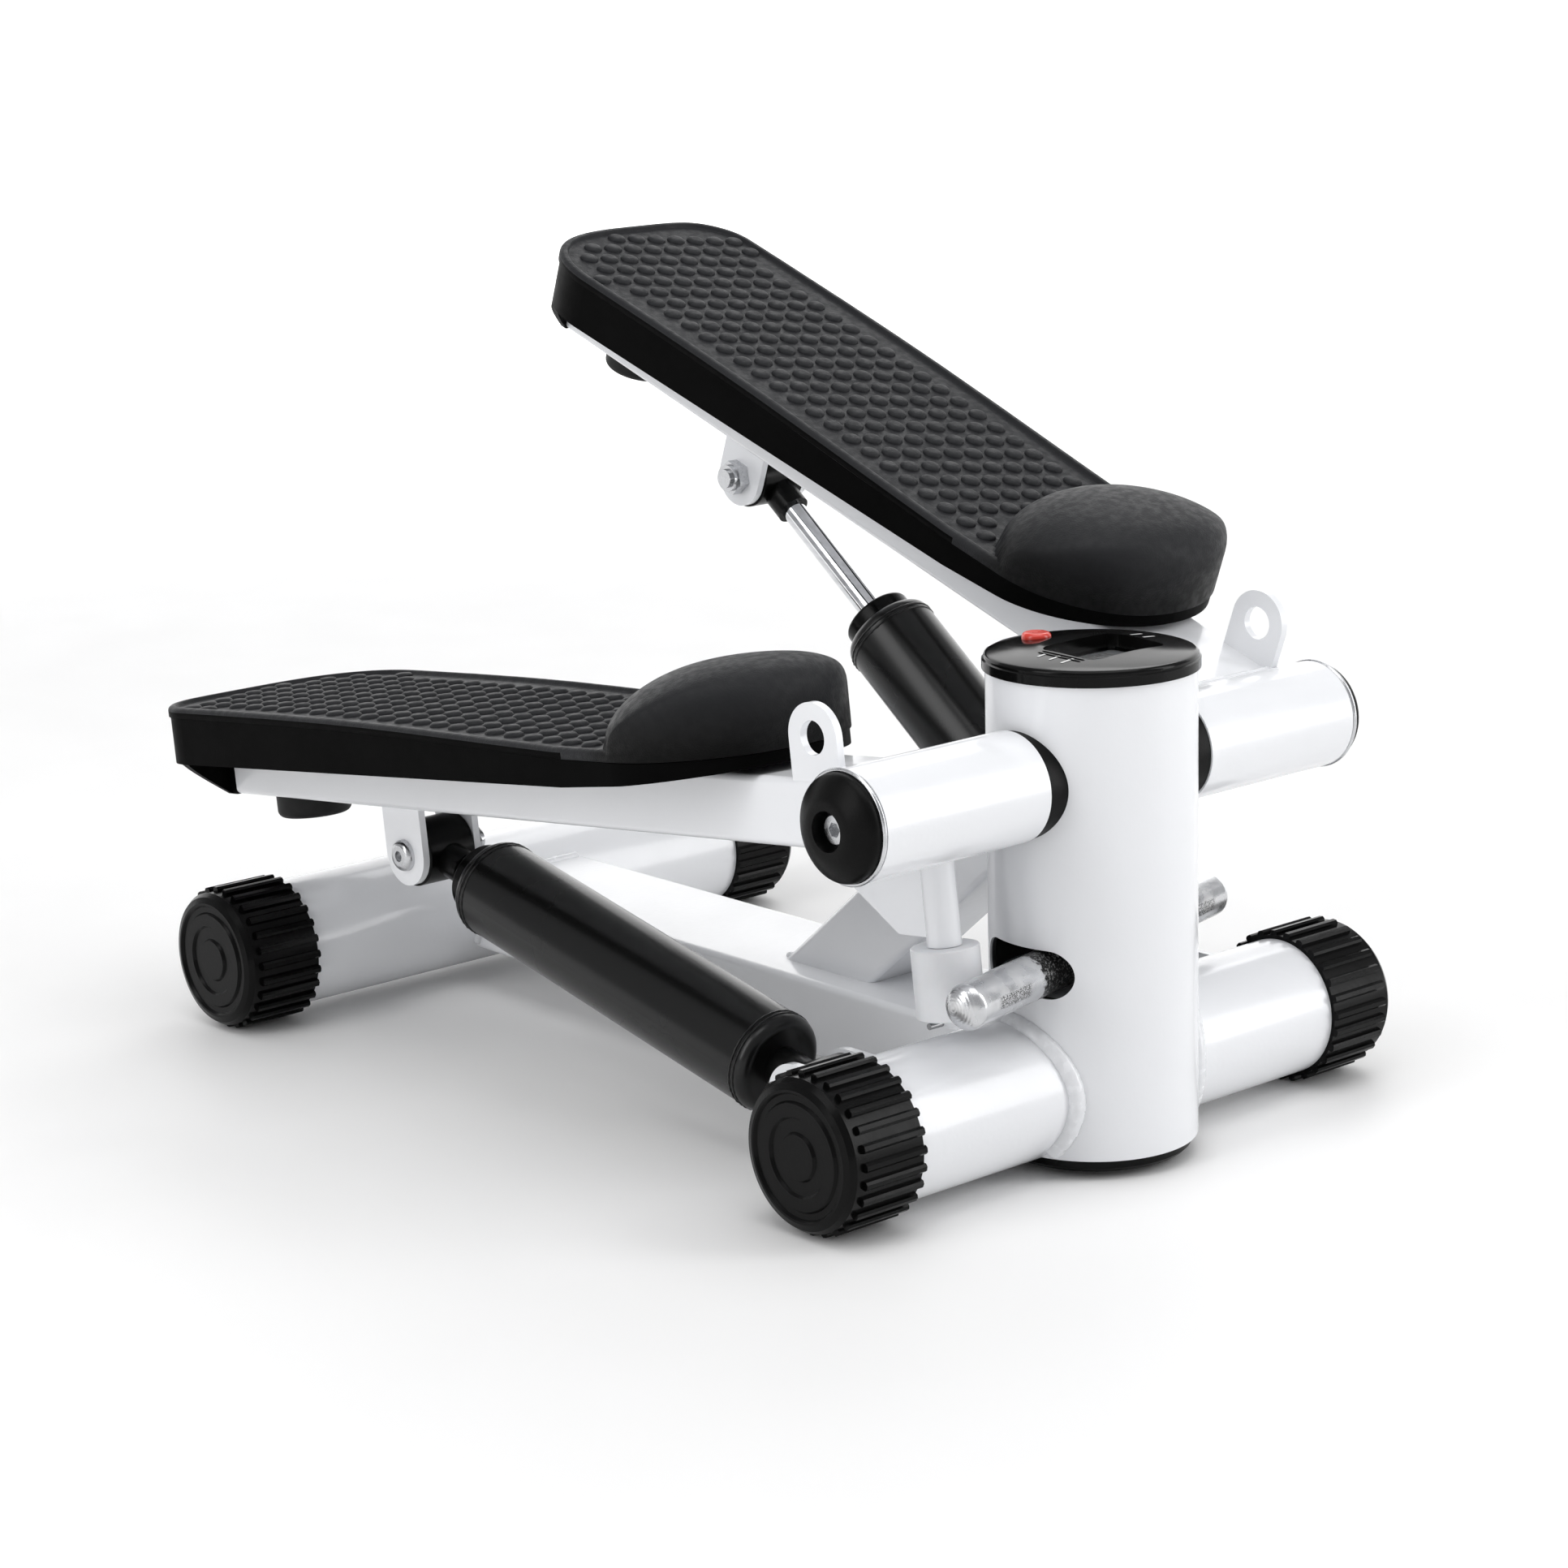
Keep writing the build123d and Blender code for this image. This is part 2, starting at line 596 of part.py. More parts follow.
def lower_clevises():
    """Pair of ears on a web, welded to the back of the front cross tube."""
    y, z = LOWER_PIN
    parts = []
    r = EAR_R + 1.5
    tube = rod_x(CROSS_TUBE_R, 0, 150, FRONT_Y, AXLE_HEIGHT)
    for x0 in (DAMPER_X - EAR_GAP / 2 - EAR_THICKNESS, DAMPER_X + EAR_GAP / 2):
        x1 = x0 + EAR_THICKNESS
        ear = rod_x(r, x0, x1, y, z) + block(x0, x1, FRONT_Y + 12, y, z - r, z + r)
        parts.append(ear - tube - rod_x(BOLT_R, x0, x1, y, z))
    return both_sides(group(parts))


def lower_fasteners():
    return both_sides(clevis_fasteners(*LOWER_PIN))


def along_y(radius, y0, y1):
    return Pos(DAMPER_X, (y0 + y1) / 2, 0) * Rot(90, 0, 0) * Cylinder(radius, y1 - y0)


def damper_cylinder():
    """Closed tube with a rolled shoulder at each end and the lower eye welded on."""
    y0 = CYLINDER_FOOT
    y1 = CYLINDER_TOP
    body = along_y(CYLINDER_R, y0, y1)
    body = fillet(body.edges().filter_by(GeomType.CIRCLE), 4.5)
    shell = body - along_y(CYLINDER_R - CYLINDER_WALL, y0 + 4, y1 - 5)
    shell = shell - along_y(GLAND_SPIGOT_R, y1 - 6, y1 + 1)
    neck = along_y(8.0, 8.0, y0 + 2)
    eye = rod_x(LOWER_BARREL_R, DAMPER_X - BARREL_LENGTH / 2, DAMPER_X + BARREL_LENGTH / 2)
    bolt = rod_x(BOLT_R + RUNNING_CLEARANCE, 0, 200)
    return shell + neck + eye - bolt


def damper_gland():
    """Rod guide that closes the top of the cylinder."""
    y1 = CYLINDER_TOP
    cap = along_y(GLAND_R, y1, y1 + GLAND_LENGTH)
    cap = fillet(cap.edges().group_by(Axis.Y)[-1], 1.6)
    spigot = along_y(GLAND_SPIGOT_R, y1 - 5, y1)
    return cap + spigot - along_y(ROD_R + RUNNING_CLEARANCE, y1 - 10, y1 + 20)


def damper_rod(length):
    """Chrome rod with its piston; length is the distance between the damper's pins."""
    tip = length - ROD_EYE_REACH
    left_tip = LEFT_LENGTH - ROD_EYE_REACH
    reach = left_tip - CYLINDER_FOOT - 14
    rod = along_y(ROD_R, tip - reach, tip)
    piston = along_y(PISTON_R, tip - reach, tip - reach + PISTON_LENGTH)
    return rod + piston


def damper_rod_eye(length):
    eye = rod_x(BARREL_R, DAMPER_X - BARREL_LENGTH / 2, DAMPER_X + BARREL_LENGTH / 2, length)
    eye = fillet(eye.edges().filter_by(GeomType.CIRCLE), 0.8)
    collar = along_y(ROD_EYE_R, length - ROD_EYE_REACH, length - BARREL_R + 3)
    return eye + collar - rod_x(BARREL_BORE_R, 0, 200, length)


# ---- console ---------------------------------------------------------------------------

def console_housing():
    """Round cap on the column: skirt plug, stepped rim, gently domed top, window bay."""
    plug_r = COLUMN_R - COLUMN_WALL
    low = COLUMN_TOP
    skirt_low = low - 14
    side = Polyline((0, skirt_low), (plug_r, skirt_low), (plug_r, low), (CAP_R, low),
                    (CAP_R, low + 3.4), (CAP_R - 0.7, low + 3.8), (CAP_R - 0.7, CAP_RIM_TOP - 1.2))
    crown = Spline((CAP_R - 0.7, CAP_RIM_TOP - 1.2), (CAP_R - 2.6, CAP_RIM_TOP + 0.3),
                   (20, CAP_TOP - 0.7), (0, CAP_TOP), tangents=[(0, 1), (-1, 0)])
    axis_line = Line((0, CAP_TOP), (0, skirt_low))
    face = Plane.XZ * make_face(Wire(list(side.edges()) + [crown, axis_line]))
    cap = revolve(face, Axis.Z)
    hollow = rod_z(plug_r - 2.2, skirt_low, BAY_FLOOR - 2.0)
    bay = window_prism(BAY_SIZE, BAY_FLOOR, CAP_TOP + 5, 4.0)
    opening = window_prism(WINDOW_SIZE, BAY_FLOOR - 5, BAY_FLOOR + 1, 2.0)
    button = rod_z(BUTTON_R + 0.2, BAY_FLOOR - 5, CAP_TOP + 5, *BUTTON_CENTRE)
    notch = Rot(0, 0, 22) * block(-7, 7, CAP_R - 2.4, CAP_R + 2, low - 1, CAP_TOP)
    return cap - hollow - bay - opening - button - notch


def window_prism(size, z0, z1, corner):
    outline = RectangleRounded(size[0], size[1], corner)
    return extrude(Pos(0, WINDOW_CENTRE_Y, z0) * outline, z1 - z0)


def console_lens():
    return window_prism((WINDOW_SIZE[0], WINDOW_SIZE[1]), BAY_FLOOR - 1.4, BAY_FLOOR - 0.2, 2.0)


def lcd_panel():
    return window_prism((WINDOW_SIZE[0] + 2, WINDOW_SIZE[1] + 2), BAY_FLOOR - 4.2, BAY_FLOOR - 2.2, 1.0)


def console_electronics():
    """Circuit board under the display with its coin cell."""
    top = BAY_FLOOR - 7.0
    board = rod_z(30.0, top - 1.6, top)
    cell = rod_z(10.0, top - 5.0, top - 1.8, 0, -4)
    return group([board, cell])


def console_button():
    low = BAY_FLOOR - 2.4
    cap = rod_z(BUTTON_R, low, BUTTON_TOP, *BUTTON_CENTRE)
    cap = fillet(cap.edges().group_by(Axis.Z)[-1], 1.6)
    return cap + rod_z(2.0, BAY_FLOOR - 5.2, low, *BUTTON_CENTRE)


# ---- assembly --------------------------------------------------------------------------

def base_nodes():
    return {
        "front_crossbar": cross_tube(FRONT_HALF, FRONT_Y),
        "rear_crossbar": cross_tube(REAR_HALF, REAR_Y),
        "spine_beam": spine_beam(),
        "column_tube": column_tube(),
        "column_brace": column_brace(),
        "column_floor_plug": column_floor_plug(),
        "foot_front_left": place_foot("left", FRONT_HALF, FRONT_Y),
        "foot_front_right": place_foot("right", FRONT_HALF, FRONT_Y),
        "foot_rear_left": place_foot("left", REAR_HALF, REAR_Y),
        "foot_rear_right": place_foot("right", REAR_HALF, REAR_Y),
        "pivot_axle": pivot_axle(),
        "pivot_spacers": pivot_spacers(),
        "pivot_end_caps": pivot_end_caps(),
        "pivot_bolts": pivot_bolts(),
        "rocker_plates": rocker_plates(),
        "rocker_pin": rocker_pin(),
        "lower_clevises": lower_clevises(),
        "lower_fasteners": lower_fasteners(),
        "console_housing": console_housing(),
        "console_lens": console_lens(),
        "lcd_panel": lcd_panel(),
        "console_electronics": console_electronics(),
    }


def side_nodes(side):
    """Everything on one arm and its damper."""
    arm_parts = {
        "pivot_tube": pivot_tube(),
        "pivot_bushes": pivot_bushes(),
        "arm_tube": arm_tube(),
        "arm_gusset": arm_gusset(),
        "roller_post": roller_post(),
        "split_pin": split_pin(),
        "roller": roller(),
        "eyelet_lug": eyelet_lug(),
        "upper_clevis": upper_clevis(),
        "upper_fasteners": clevis_fasteners(*UPPER_PIN),
        "arm_bumper": arm_bumper(),
        "pedal_base": pedal_base(),
        "pedal_tread": pedal_tread(),
        "pedal_screws": pedal_screws(),
    }
    length = damper_line(LEFT_ANGLE if side == "left" else RIGHT_ANGLE)[0]
    damper_parts = {
        "damper_cylinder": damper_cylinder(),
        "damper_gland": damper_gland(),
        "damper_rod": damper_rod(length),
        "damper_rod_eye": damper_rod_eye(length),
    }
    nodes = {f"{name}_{side}": place_arm_part(p, side) for name, p in arm_parts.items()}
    nodes |= {f"{name}_{side}": place_damper_part(p, side) for name, p in damper_parts.items()}
    return nodes


def main():
    nodes = base_nodes()
    nodes["rocker_bar"] = rocker_bar()
    nodes["console_button"] = console_button()
    for side in ("left", "right"):
        nodes |= side_nodes(side)
    box = group([part.moved(Location()) for part in nodes.values()]).bounding_box()
    centre = box.center()
    shift = Location((-centre.X, -centre.Y, -box.min.Z))
    os.makedirs("parts", exist_ok=True)
    for name, part in nodes.items():
        export_step(part.moved(shift), f"parts/{name}.step")


main()
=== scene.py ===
"""Looks of a twin-pedal stepper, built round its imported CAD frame. Metres, +Z up."""

import json
import math

import bpy
from mathutils import Matrix, Vector
from mathutils.bvhtree import BVHTree
from mathutils.geometry import convex_hull_2d, intersect_point_line
from mathutils.kdtree import KDTree


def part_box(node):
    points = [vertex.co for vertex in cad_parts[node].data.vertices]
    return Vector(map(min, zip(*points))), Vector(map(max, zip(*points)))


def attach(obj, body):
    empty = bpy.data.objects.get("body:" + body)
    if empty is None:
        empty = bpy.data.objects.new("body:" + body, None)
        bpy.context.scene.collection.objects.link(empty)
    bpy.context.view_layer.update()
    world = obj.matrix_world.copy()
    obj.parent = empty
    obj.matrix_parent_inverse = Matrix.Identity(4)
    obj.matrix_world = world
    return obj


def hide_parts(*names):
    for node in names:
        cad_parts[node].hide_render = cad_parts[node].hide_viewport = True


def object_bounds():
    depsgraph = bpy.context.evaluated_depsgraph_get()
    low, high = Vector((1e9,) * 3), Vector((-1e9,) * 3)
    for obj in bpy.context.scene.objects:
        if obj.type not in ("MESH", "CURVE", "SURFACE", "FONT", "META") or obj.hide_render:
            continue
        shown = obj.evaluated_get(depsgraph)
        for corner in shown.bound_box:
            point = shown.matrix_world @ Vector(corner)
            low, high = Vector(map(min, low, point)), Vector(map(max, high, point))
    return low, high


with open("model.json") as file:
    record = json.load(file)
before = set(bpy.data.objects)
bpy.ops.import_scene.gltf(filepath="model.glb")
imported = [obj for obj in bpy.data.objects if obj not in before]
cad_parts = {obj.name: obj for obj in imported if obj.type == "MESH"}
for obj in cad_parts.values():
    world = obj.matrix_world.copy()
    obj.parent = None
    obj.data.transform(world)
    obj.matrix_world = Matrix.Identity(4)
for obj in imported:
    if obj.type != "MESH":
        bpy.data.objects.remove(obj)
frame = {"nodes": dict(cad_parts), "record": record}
CAD_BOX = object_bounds()
NODES = frame["nodes"]
RECORD = frame["record"]
JOINTS = {j["name"]: j for j in RECORD["behaviour"]["joints"]}
SIDES = {"left": -1.0, "right": 1.0}


# ---- places worked out from the frame ---------------------------------------------------

def low_high(node):
    low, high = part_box(node)
    return Vector(low), Vector(high)


def middle(node):
    low, high = low_high(node)
    return (low + high) / 2


def half_size(node):
    low, high = low_high(node)
    return (high - low) / 2


COLUMN = middle("column_tube")
COLUMN_R = half_size("column_tube").x
FRONT_TUBE = middle("front_crossbar")
REAR_TUBE = middle("rear_crossbar")
TUBE_R = half_size("front_crossbar").z
PIVOT = middle("pivot_axle")
PIVOT_TUBE_R = half_size("pivot_tube_left").z
CAP_TOP = low_high("console_housing")[1].z


def arm_frame(side):
    """Frame of an arm: X across, Y along the arm, Z square to it, origin on the pivot."""
    up = Vector(JOINTS[f"{side}_roller_spin"]["axis"]).normalized()
    if up.z < 0:
        up = -up
    across = Vector((1, 0, 0))
    along = up.cross(across)
    turn = Matrix((across, along, up)).transposed().to_4x4()
    return Matrix.Translation(PIVOT) @ turn


def damper_frame(side):
    """Frame of a damper: Y up its axis, origin on the lower pin."""
    along = Vector(JOINTS[f"{side}_rod_slide"]["axis"]).normalized()
    if along.y < 0:
        along = -along
    across = Vector((1, 0, 0))
    up = across.cross(along)
    turn = Matrix((across, along, up)).transposed().to_4x4()
    return Matrix.Translation(Vector(JOINTS[f"{side}_damper_swing"]["pos_m"])) @ turn


ARMS = {side: arm_frame(side) for side in SIDES}
DAMPERS = {side: damper_frame(side) for side in SIDES}


# ---- node materials ---------------------------------------------------------------------

NOISE_LOW = 0.3
NOISE_HIGH = 0.7


class Nodes:
    """Short names for adding and joining shader nodes."""

    def __init__(self, name):
        self.material = bpy.data.materials.new(name)
        self.material.use_nodes = True
        self.tree = self.material.node_tree
        self.tree.nodes.clear()
        self.shader = self.add("ShaderNodeBsdfPrincipled")
        output = self.add("ShaderNodeOutputMaterial")
        self.join(self.shader.outputs["BSDF"], output.inputs["Surface"])
        self.place = self.add("ShaderNodeTexCoord").outputs["Object"]

    def add(self, kind, **settings):
        node = self.tree.nodes.new(kind)
        for key, value in settings.items():
            setattr(node, key, value)
        return node

    def join(self, output, socket):
        self.tree.links.new(output, socket)

    def noise(self, scale, detail=4.0, stretch=None):
        node = self.add("ShaderNodeTexNoise")
        node.inputs["Scale"].default_value = scale
        node.inputs["Detail"].default_value = detail
        source = self.place
        if stretch:
            mapping = self.add("ShaderNodeMapping")
            mapping.inputs["Scale"].default_value = stretch
            self.join(self.place, mapping.inputs["Vector"])
            source = mapping.outputs["Vector"]
        self.join(source, node.inputs["Vector"])
        return node.outputs["Fac"]

    def cells(self, scale):
        node = self.add("ShaderNodeTexVoronoi")
        node.inputs["Scale"].default_value = scale
        self.join(self.place, node.inputs["Vector"])
        return node.outputs["Distance"]

    def ramp(self, value, *stops):
        node = self.add("ShaderNodeValToRGB")
        elements = node.color_ramp.elements
        while len(elements) < len(stops):
            elements.new(0.5)
        for element, (position, colour) in zip(elements, stops):
            element.position = position
            element.color = (*colour, 1.0)
        self.join(value, node.inputs["Fac"])
        return node.outputs["Color"]

    def span(self, value, low, high, start=0.0, end=1.0):
        """The value mapped from low..high to start..end."""
        node = self.add("ShaderNodeMapRange", interpolation_type="SMOOTHSTEP")
        node.inputs["From Min"].default_value = low
        node.inputs["From Max"].default_value = high
        node.inputs["To Min"].default_value = start
        node.inputs["To Max"].default_value = end
        self.join(value, node.inputs["Value"])
        return node.outputs["Result"]

    def fall(self, value, low, high):
        """One up to low, and nothing from high on."""
        return self.span(value, low, high, 1.0, 0.0)

    def vary(self, noise, start, end):
        """A measure that runs from start to end over the middle of a noise."""
        return self.span(noise, NOISE_LOW, NOISE_HIGH, start, end)

    def tones(self, noise, dark, light):
        """A colour that runs from dark to light over the middle of a noise."""
        return self.ramp(noise, (NOISE_LOW, dark), (NOISE_HIGH, light))

    def maths(self, operation, a, b=None):
        node = self.add("ShaderNodeMath", operation=operation)
        for socket, value in zip(node.inputs, (a, b)):
            if isinstance(value, (int, float)):
                socket.default_value = value
            elif value is not None:
                self.join(value, socket)
        return node.outputs["Value"]

    def product(self, first, *others):
        for other in others:
            first = self.maths("MULTIPLY", first, other)
        return first

    def distance_from_line(self, a, b):
        """Distance that two distances square to each other make."""
        squares = self.maths("ADD", self.maths("POWER", a, 2.0), self.maths("POWER", b, 2.0))
        return self.maths("SQRT", squares)

    def coordinate(self, axis):
        node = self.add("ShaderNodeSeparateXYZ")
        self.join(self.place, node.inputs["Vector"])
        return node.outputs[axis]

    def distance_to(self, point):
        node = self.add("ShaderNodeVectorMath", operation="DISTANCE")
        self.join(self.place, node.inputs[0])
        node.inputs[1].default_value = point
        return node.outputs["Value"]

    def reach_along(self, origin, direction):
        """How far a spot lies from the origin along a direction."""
        gap = self.add("ShaderNodeVectorMath", operation="SUBTRACT")
        self.join(self.place, gap.inputs[0])
        gap.inputs[1].default_value = origin
        node = self.add("ShaderNodeVectorMath", operation="DOT_PRODUCT")
        self.join(gap.outputs["Vector"], node.inputs[0])
        node.inputs[1].default_value = direction
        return node.outputs["Value"]

    def mix(self, factor, a, b):
        node = self.add("ShaderNodeMix", data_type="RGBA")
        self.join(factor, node.inputs["Factor"])
        for socket, value in ((node.inputs[6], a), (node.inputs[7], b)):
            if isinstance(value, tuple):
                socket.default_value = (*value, 1.0)
            else:
                self.join(value, socket)
        return node.outputs[2]

    def bump(self, height, strength, distance):
        node = self.add("ShaderNodeBump")
        node.inputs["Strength"].default_value = strength
        node.inputs["Distance"].default_value = distance
        self.join(height, node.inputs["Height"])
        self.join(node.outputs["Normal"], self.shader.inputs["Normal"])

    def colour(self, value):
        self.join(value, self.shader.inputs["Base Color"])

    def roughness(self, value):
        self.join(value, self.shader.inputs["Roughness"])

    def set(self, **values):
        for name, value in values.items():
            self.shader.inputs[name.replace("_", " ")].default_value = value
        return self.material


def shade(level, tint=(1.0, 1.0, 1.0)):
    return tuple(level * t for t in tint)


COOL = (0.985, 0.995, 1.02)
PAINT_DEPTH = 0.0012


def powder_coat(n):
    """Colour and roughness of the white powder coat, with its faint orange peel."""
    white = n.tones(n.noise(9.0, 3.0), shade(0.83, COOL), shade(0.87, COOL))
    n.bump(n.noise(420.0, 2.0), 0.10, 0.0004)
    return white, n.vary(n.noise(60.0), 0.17, 0.26)


def white_paint():
    """Glossy white powder coat."""
    n = Nodes("white_paint")
    white, rough = powder_coat(n)
    n.colour(white)
    n.roughness(rough)
    return n.set(Coat_Weight=0.35, Coat_Roughness=0.08)


def column_paint():
    """White powder coat outside; matt and near black inside the column, the black being painted shade in
    the hollow tube.
    """
    n = Nodes("column_paint")
    white, rough = powder_coat(n)
    across = n.maths("SUBTRACT", n.coordinate("X"), COLUMN.x)
    along = n.maths("SUBTRACT", n.coordinate("Y"), COLUMN.y)
    radial = n.distance_from_line(across, along)
    # Painted shade: the inside of the tube is coloured near black for the shade in its hollow.
    inside = n.fall(radial, COLUMN_R - PAINT_DEPTH, COLUMN_R - PAINT_DEPTH / 2)
    n.colour(n.mix(inside, white, shade(0.012)))
    n.roughness(n.maths("ADD", rough, n.product(inside, 0.4)))
    return n.set(Coat_Weight=0.2, Coat_Roughness=0.08)


def weld_paint():
    """The same paint over a weld bead, a little greyer in its ripples."""
    n = Nodes("weld_paint")
    tone = n.noise(260.0, 4.0)
    n.colour(n.tones(tone, shade(0.78, COOL), shade(0.86, COOL)))
    n.roughness(n.vary(tone, 0.18, 0.3))
    n.bump(tone, 0.2, 0.0006)
    return n.set(Coat_Weight=0.3, Coat_Roughness=0.1)


def white_nylon():
    n = Nodes("white_nylon")
    tone = n.noise(55.0, 5.0)
    n.colour(n.tones(tone, shade(0.74, COOL), shade(0.83, COOL)))
    n.roughness(n.vary(tone, 0.34, 0.46))
    n.bump(n.noise(900.0, 2.0), 0.08, 0.0003)
    return n.set(Subsurface_Weight=0.05, Subsurface_Scale=0.004)


def black_paint():
    """Glossy black enamel of the dampers."""
    n = Nodes("black_paint")
    tone = n.noise(30.0, 4.0)
    n.colour(n.ramp(tone, (0.3, shade(0.002)), (0.75, shade(0.003))))
    n.roughness(n.vary(n.noise(12.0), 0.27, 0.29))
    n.bump(n.noise(1500.0, 2.0), 0.02, 0.0001)
    return n.set(Specular_IOR_Level=0.32, Coat_Weight=0.12, Coat_Roughness=0.2)


def black_satin(name, low, high, rough, grain, gloss):
    """Moulded black plastic or rubber."""
    n = Nodes(name)
    tone = n.noise(40.0, 5.0)
    n.colour(n.tones(tone, shade(low), shade(high)))
    n.roughness(n.vary(n.noise(150.0), rough - 0.03, rough + 0.03))
    n.bump(n.noise(grain, 3.0), 0.12, 0.0003)
    return n.set(Specular_IOR_Level=gloss)


# Painted shade: the tread runs to black near the toe and low down, where the light falls off.
TOE_SHADE_UNTIL = 0.100
TOE_SHADE_FADE_END = 0.118
TOE_SHADE_HEIGHT = 0.022
TOE_SHADE_FADE_HEIGHT = 0.050


def tread_rubber(side):
    """Charcoal tread, matt, with a fine leather grain, darkened to black low round the toe by painted
    shade.
    """
    n = Nodes(f"tread_rubber_{side}")
    turn = ARMS[side].to_3x3()
    along = n.reach_along(ARMS[side].translation, turn @ Vector((0, 1, 0)))
    above = n.reach_along(ARMS[side].translation, turn @ Vector((0, 0, 1)))
    # Painted shade mask: full towards the toe and near the bottom of the toe stop.
    toe = n.fall(along, TOE_SHADE_UNTIL, TOE_SHADE_FADE_END)
    shaded = n.product(toe, n.fall(above, TOE_SHADE_HEIGHT, TOE_SHADE_FADE_HEIGHT))
    tone = n.noise(28.0, 6.0)
    charcoal = n.ramp(tone, (0.25, (0.0150, 0.0155, 0.0172)), (0.75, (0.0185, 0.0191, 0.0210)))
    n.colour(n.mix(shaded, charcoal, shade(0.0012)))
    n.roughness(n.vary(n.noise(300.0), 0.46, 0.62))
    grain = n.maths("ADD", n.cells(1500.0), n.noise(900.0, 3.0))
    n.bump(grain, 0.22, 0.0003)
    return n.set(Specular_IOR_Level=0.16)


def chrome():
    n = Nodes("chrome")
    streak = n.noise(400.0, 2.0, stretch=(1.0, 0.05, 1.0))
    n.colour(n.tones(streak, shade(0.62, COOL), shade(0.78, COOL)))
    n.roughness(n.vary(streak, 0.06, 0.13))
    return n.set(Metallic=1.0)


def zinc(name, level):
    """Bright zinc plate on bolts and nuts."""
    n = Nodes(name)
    tone = n.noise(180.0, 5.0)
    n.colour(n.tones(tone, shade(level * 0.8, COOL), shade(level, COOL)))
    n.roughness(n.vary(tone, 0.2, 0.36))
    n.bump(n.noise(900.0, 2.0), 0.12, 0.0003)
    return n.set(Metallic=1.0)


def bar_turn():
    """How far the rocker bar is swung from the X axis at rest."""
    centre = middle("rocker_bar")
    end = max((v.co for v in NODES["rocker_bar"].data.vertices), key=lambda p: p.x)
    return math.atan2(end.y - centre.y, end.x - centre.x)


def half_bar():
    """Distance from the rocker bar's middle to the corner farthest from it."""
    centre = middle("rocker_bar")
    return max((v.co - centre).length for v in NODES["rocker_bar"].data.vertices)


SCUFF_START = 0.054
SCUFF_END = 0.077
SCUFF_EDGE = 0.003
SCUFF_HEIGHT = 0.0028
SCUFF_HEIGHT_EDGE = 0.0008
SCUFF_DEPTH = -0.004
SCUFF_DEPTH_EDGE = 0.002
GREASE_REACH = 0.0088
GREASE_EDGE = 0.0018
GREASE_RAGGED = 0.0016
TURNED_LENGTH = 0.0052
TURNED_EDGE = 0.0006
TURNED_WAVES = 5200.0


def worn_bar():
    """Galvanised bar: scuffed patches, turned ends, a greased dark band beside the column.

    TURNED_WAVES is in radians for each metre out from the bar's axis.
    """
    n = Nodes("worn_bar")
    centre = middle("rocker_bar")
    local = n.add("ShaderNodeVectorRotate", rotation_type="Z_AXIS")
    local.inputs["Center"].default_value = centre
    local.inputs["Angle"].default_value = -bar_turn()
    n.join(n.place, local.inputs["Vector"])
    shifted = n.add("ShaderNodeVectorMath", operation="SUBTRACT")
    n.join(local.outputs["Vector"], shifted.inputs[0])
    shifted.inputs[1].default_value = centre
    split = n.add("ShaderNodeSeparateXYZ")
    n.join(shifted.outputs["Vector"], split.inputs["Vector"])
    along = n.maths("ABSOLUTE", split.outputs["X"])
    depth = split.outputs["Y"]
    height = n.maths("ABSOLUTE", split.outputs["Z"])
    radial = n.distance_from_line(depth, height)

    frost = n.noise(90.0, 6.0)
    base = n.ramp(frost, (0.3, shade(0.52, COOL)), (0.5, shade(0.63, COOL)), (0.72, shade(0.74)))
    speckle = n.span(n.noise(2300.0, 2.0), 0.40, 0.58)
    patch = n.product(n.span(along, SCUFF_START, SCUFF_START + SCUFF_EDGE),
                      n.fall(along, SCUFF_END - SCUFF_EDGE, SCUFF_END),
                      n.fall(height, SCUFF_HEIGHT - SCUFF_HEIGHT_EDGE, SCUFF_HEIGHT),
                      n.fall(depth, SCUFF_DEPTH - SCUFF_DEPTH_EDGE, SCUFF_DEPTH), speckle)
    wander = n.span(n.noise(500.0), 0.2, 0.8, -GREASE_RAGGED, GREASE_RAGGED)
    grease_end = COLUMN_R + GREASE_REACH
    greased = n.fall(n.maths("ADD", along, wander), grease_end - GREASE_EDGE, grease_end)
    grease_tone = n.ramp(n.noise(1100.0, 2.0), (0.5, shade(0.012)), (0.68, shade(0.30)))
    n.colour(n.mix(greased, n.mix(patch, base, shade(0.10)), grease_tone))
    n.roughness(n.maths("ADD", n.vary(frost, 0.18, 0.34), n.product(greased, 0.15)))
    rings = n.maths("SINE", n.product(radial, TURNED_WAVES))
    turned_start = half_bar() - TURNED_LENGTH
    turned = n.product(rings, n.span(along, turned_start, turned_start + TURNED_EDGE))
    scratch = n.noise(320.0, 4.0, stretch=(0.2, 1.0, 1.0))
    relief = n.maths("ADD", n.maths("ADD", scratch, frost), n.product(turned, 0.6))
    n.bump(n.maths("SUBTRACT", relief, patch), 0.14, 0.0003)
    return n.set(Metallic=0.92)


def gloss_black():
    """Console housing: polished black plastic with faint moulding marks."""
    n = Nodes("gloss_black")
    tone = n.noise(45.0, 4.0)
    n.colour(n.tones(tone, shade(0.003), shade(0.006)))
    n.roughness(n.vary(n.noise(80.0), 0.10, 0.14))
    n.bump(n.noise(300.0, 2.0), 0.02, 0.0002)
    return n.set(Specular_IOR_Level=0.12)


def red_plastic():
    n = Nodes("red_plastic")
    tone = n.noise(90.0, 4.0)
    n.colour(n.tones(tone, (0.62, 0.035, 0.022), (0.74, 0.055, 0.032)))
    n.roughness(n.vary(tone, 0.22, 0.32))
    n.bump(n.noise(700.0, 2.0), 0.06, 0.0002)
    return n.set(Coat_Weight=0.2)


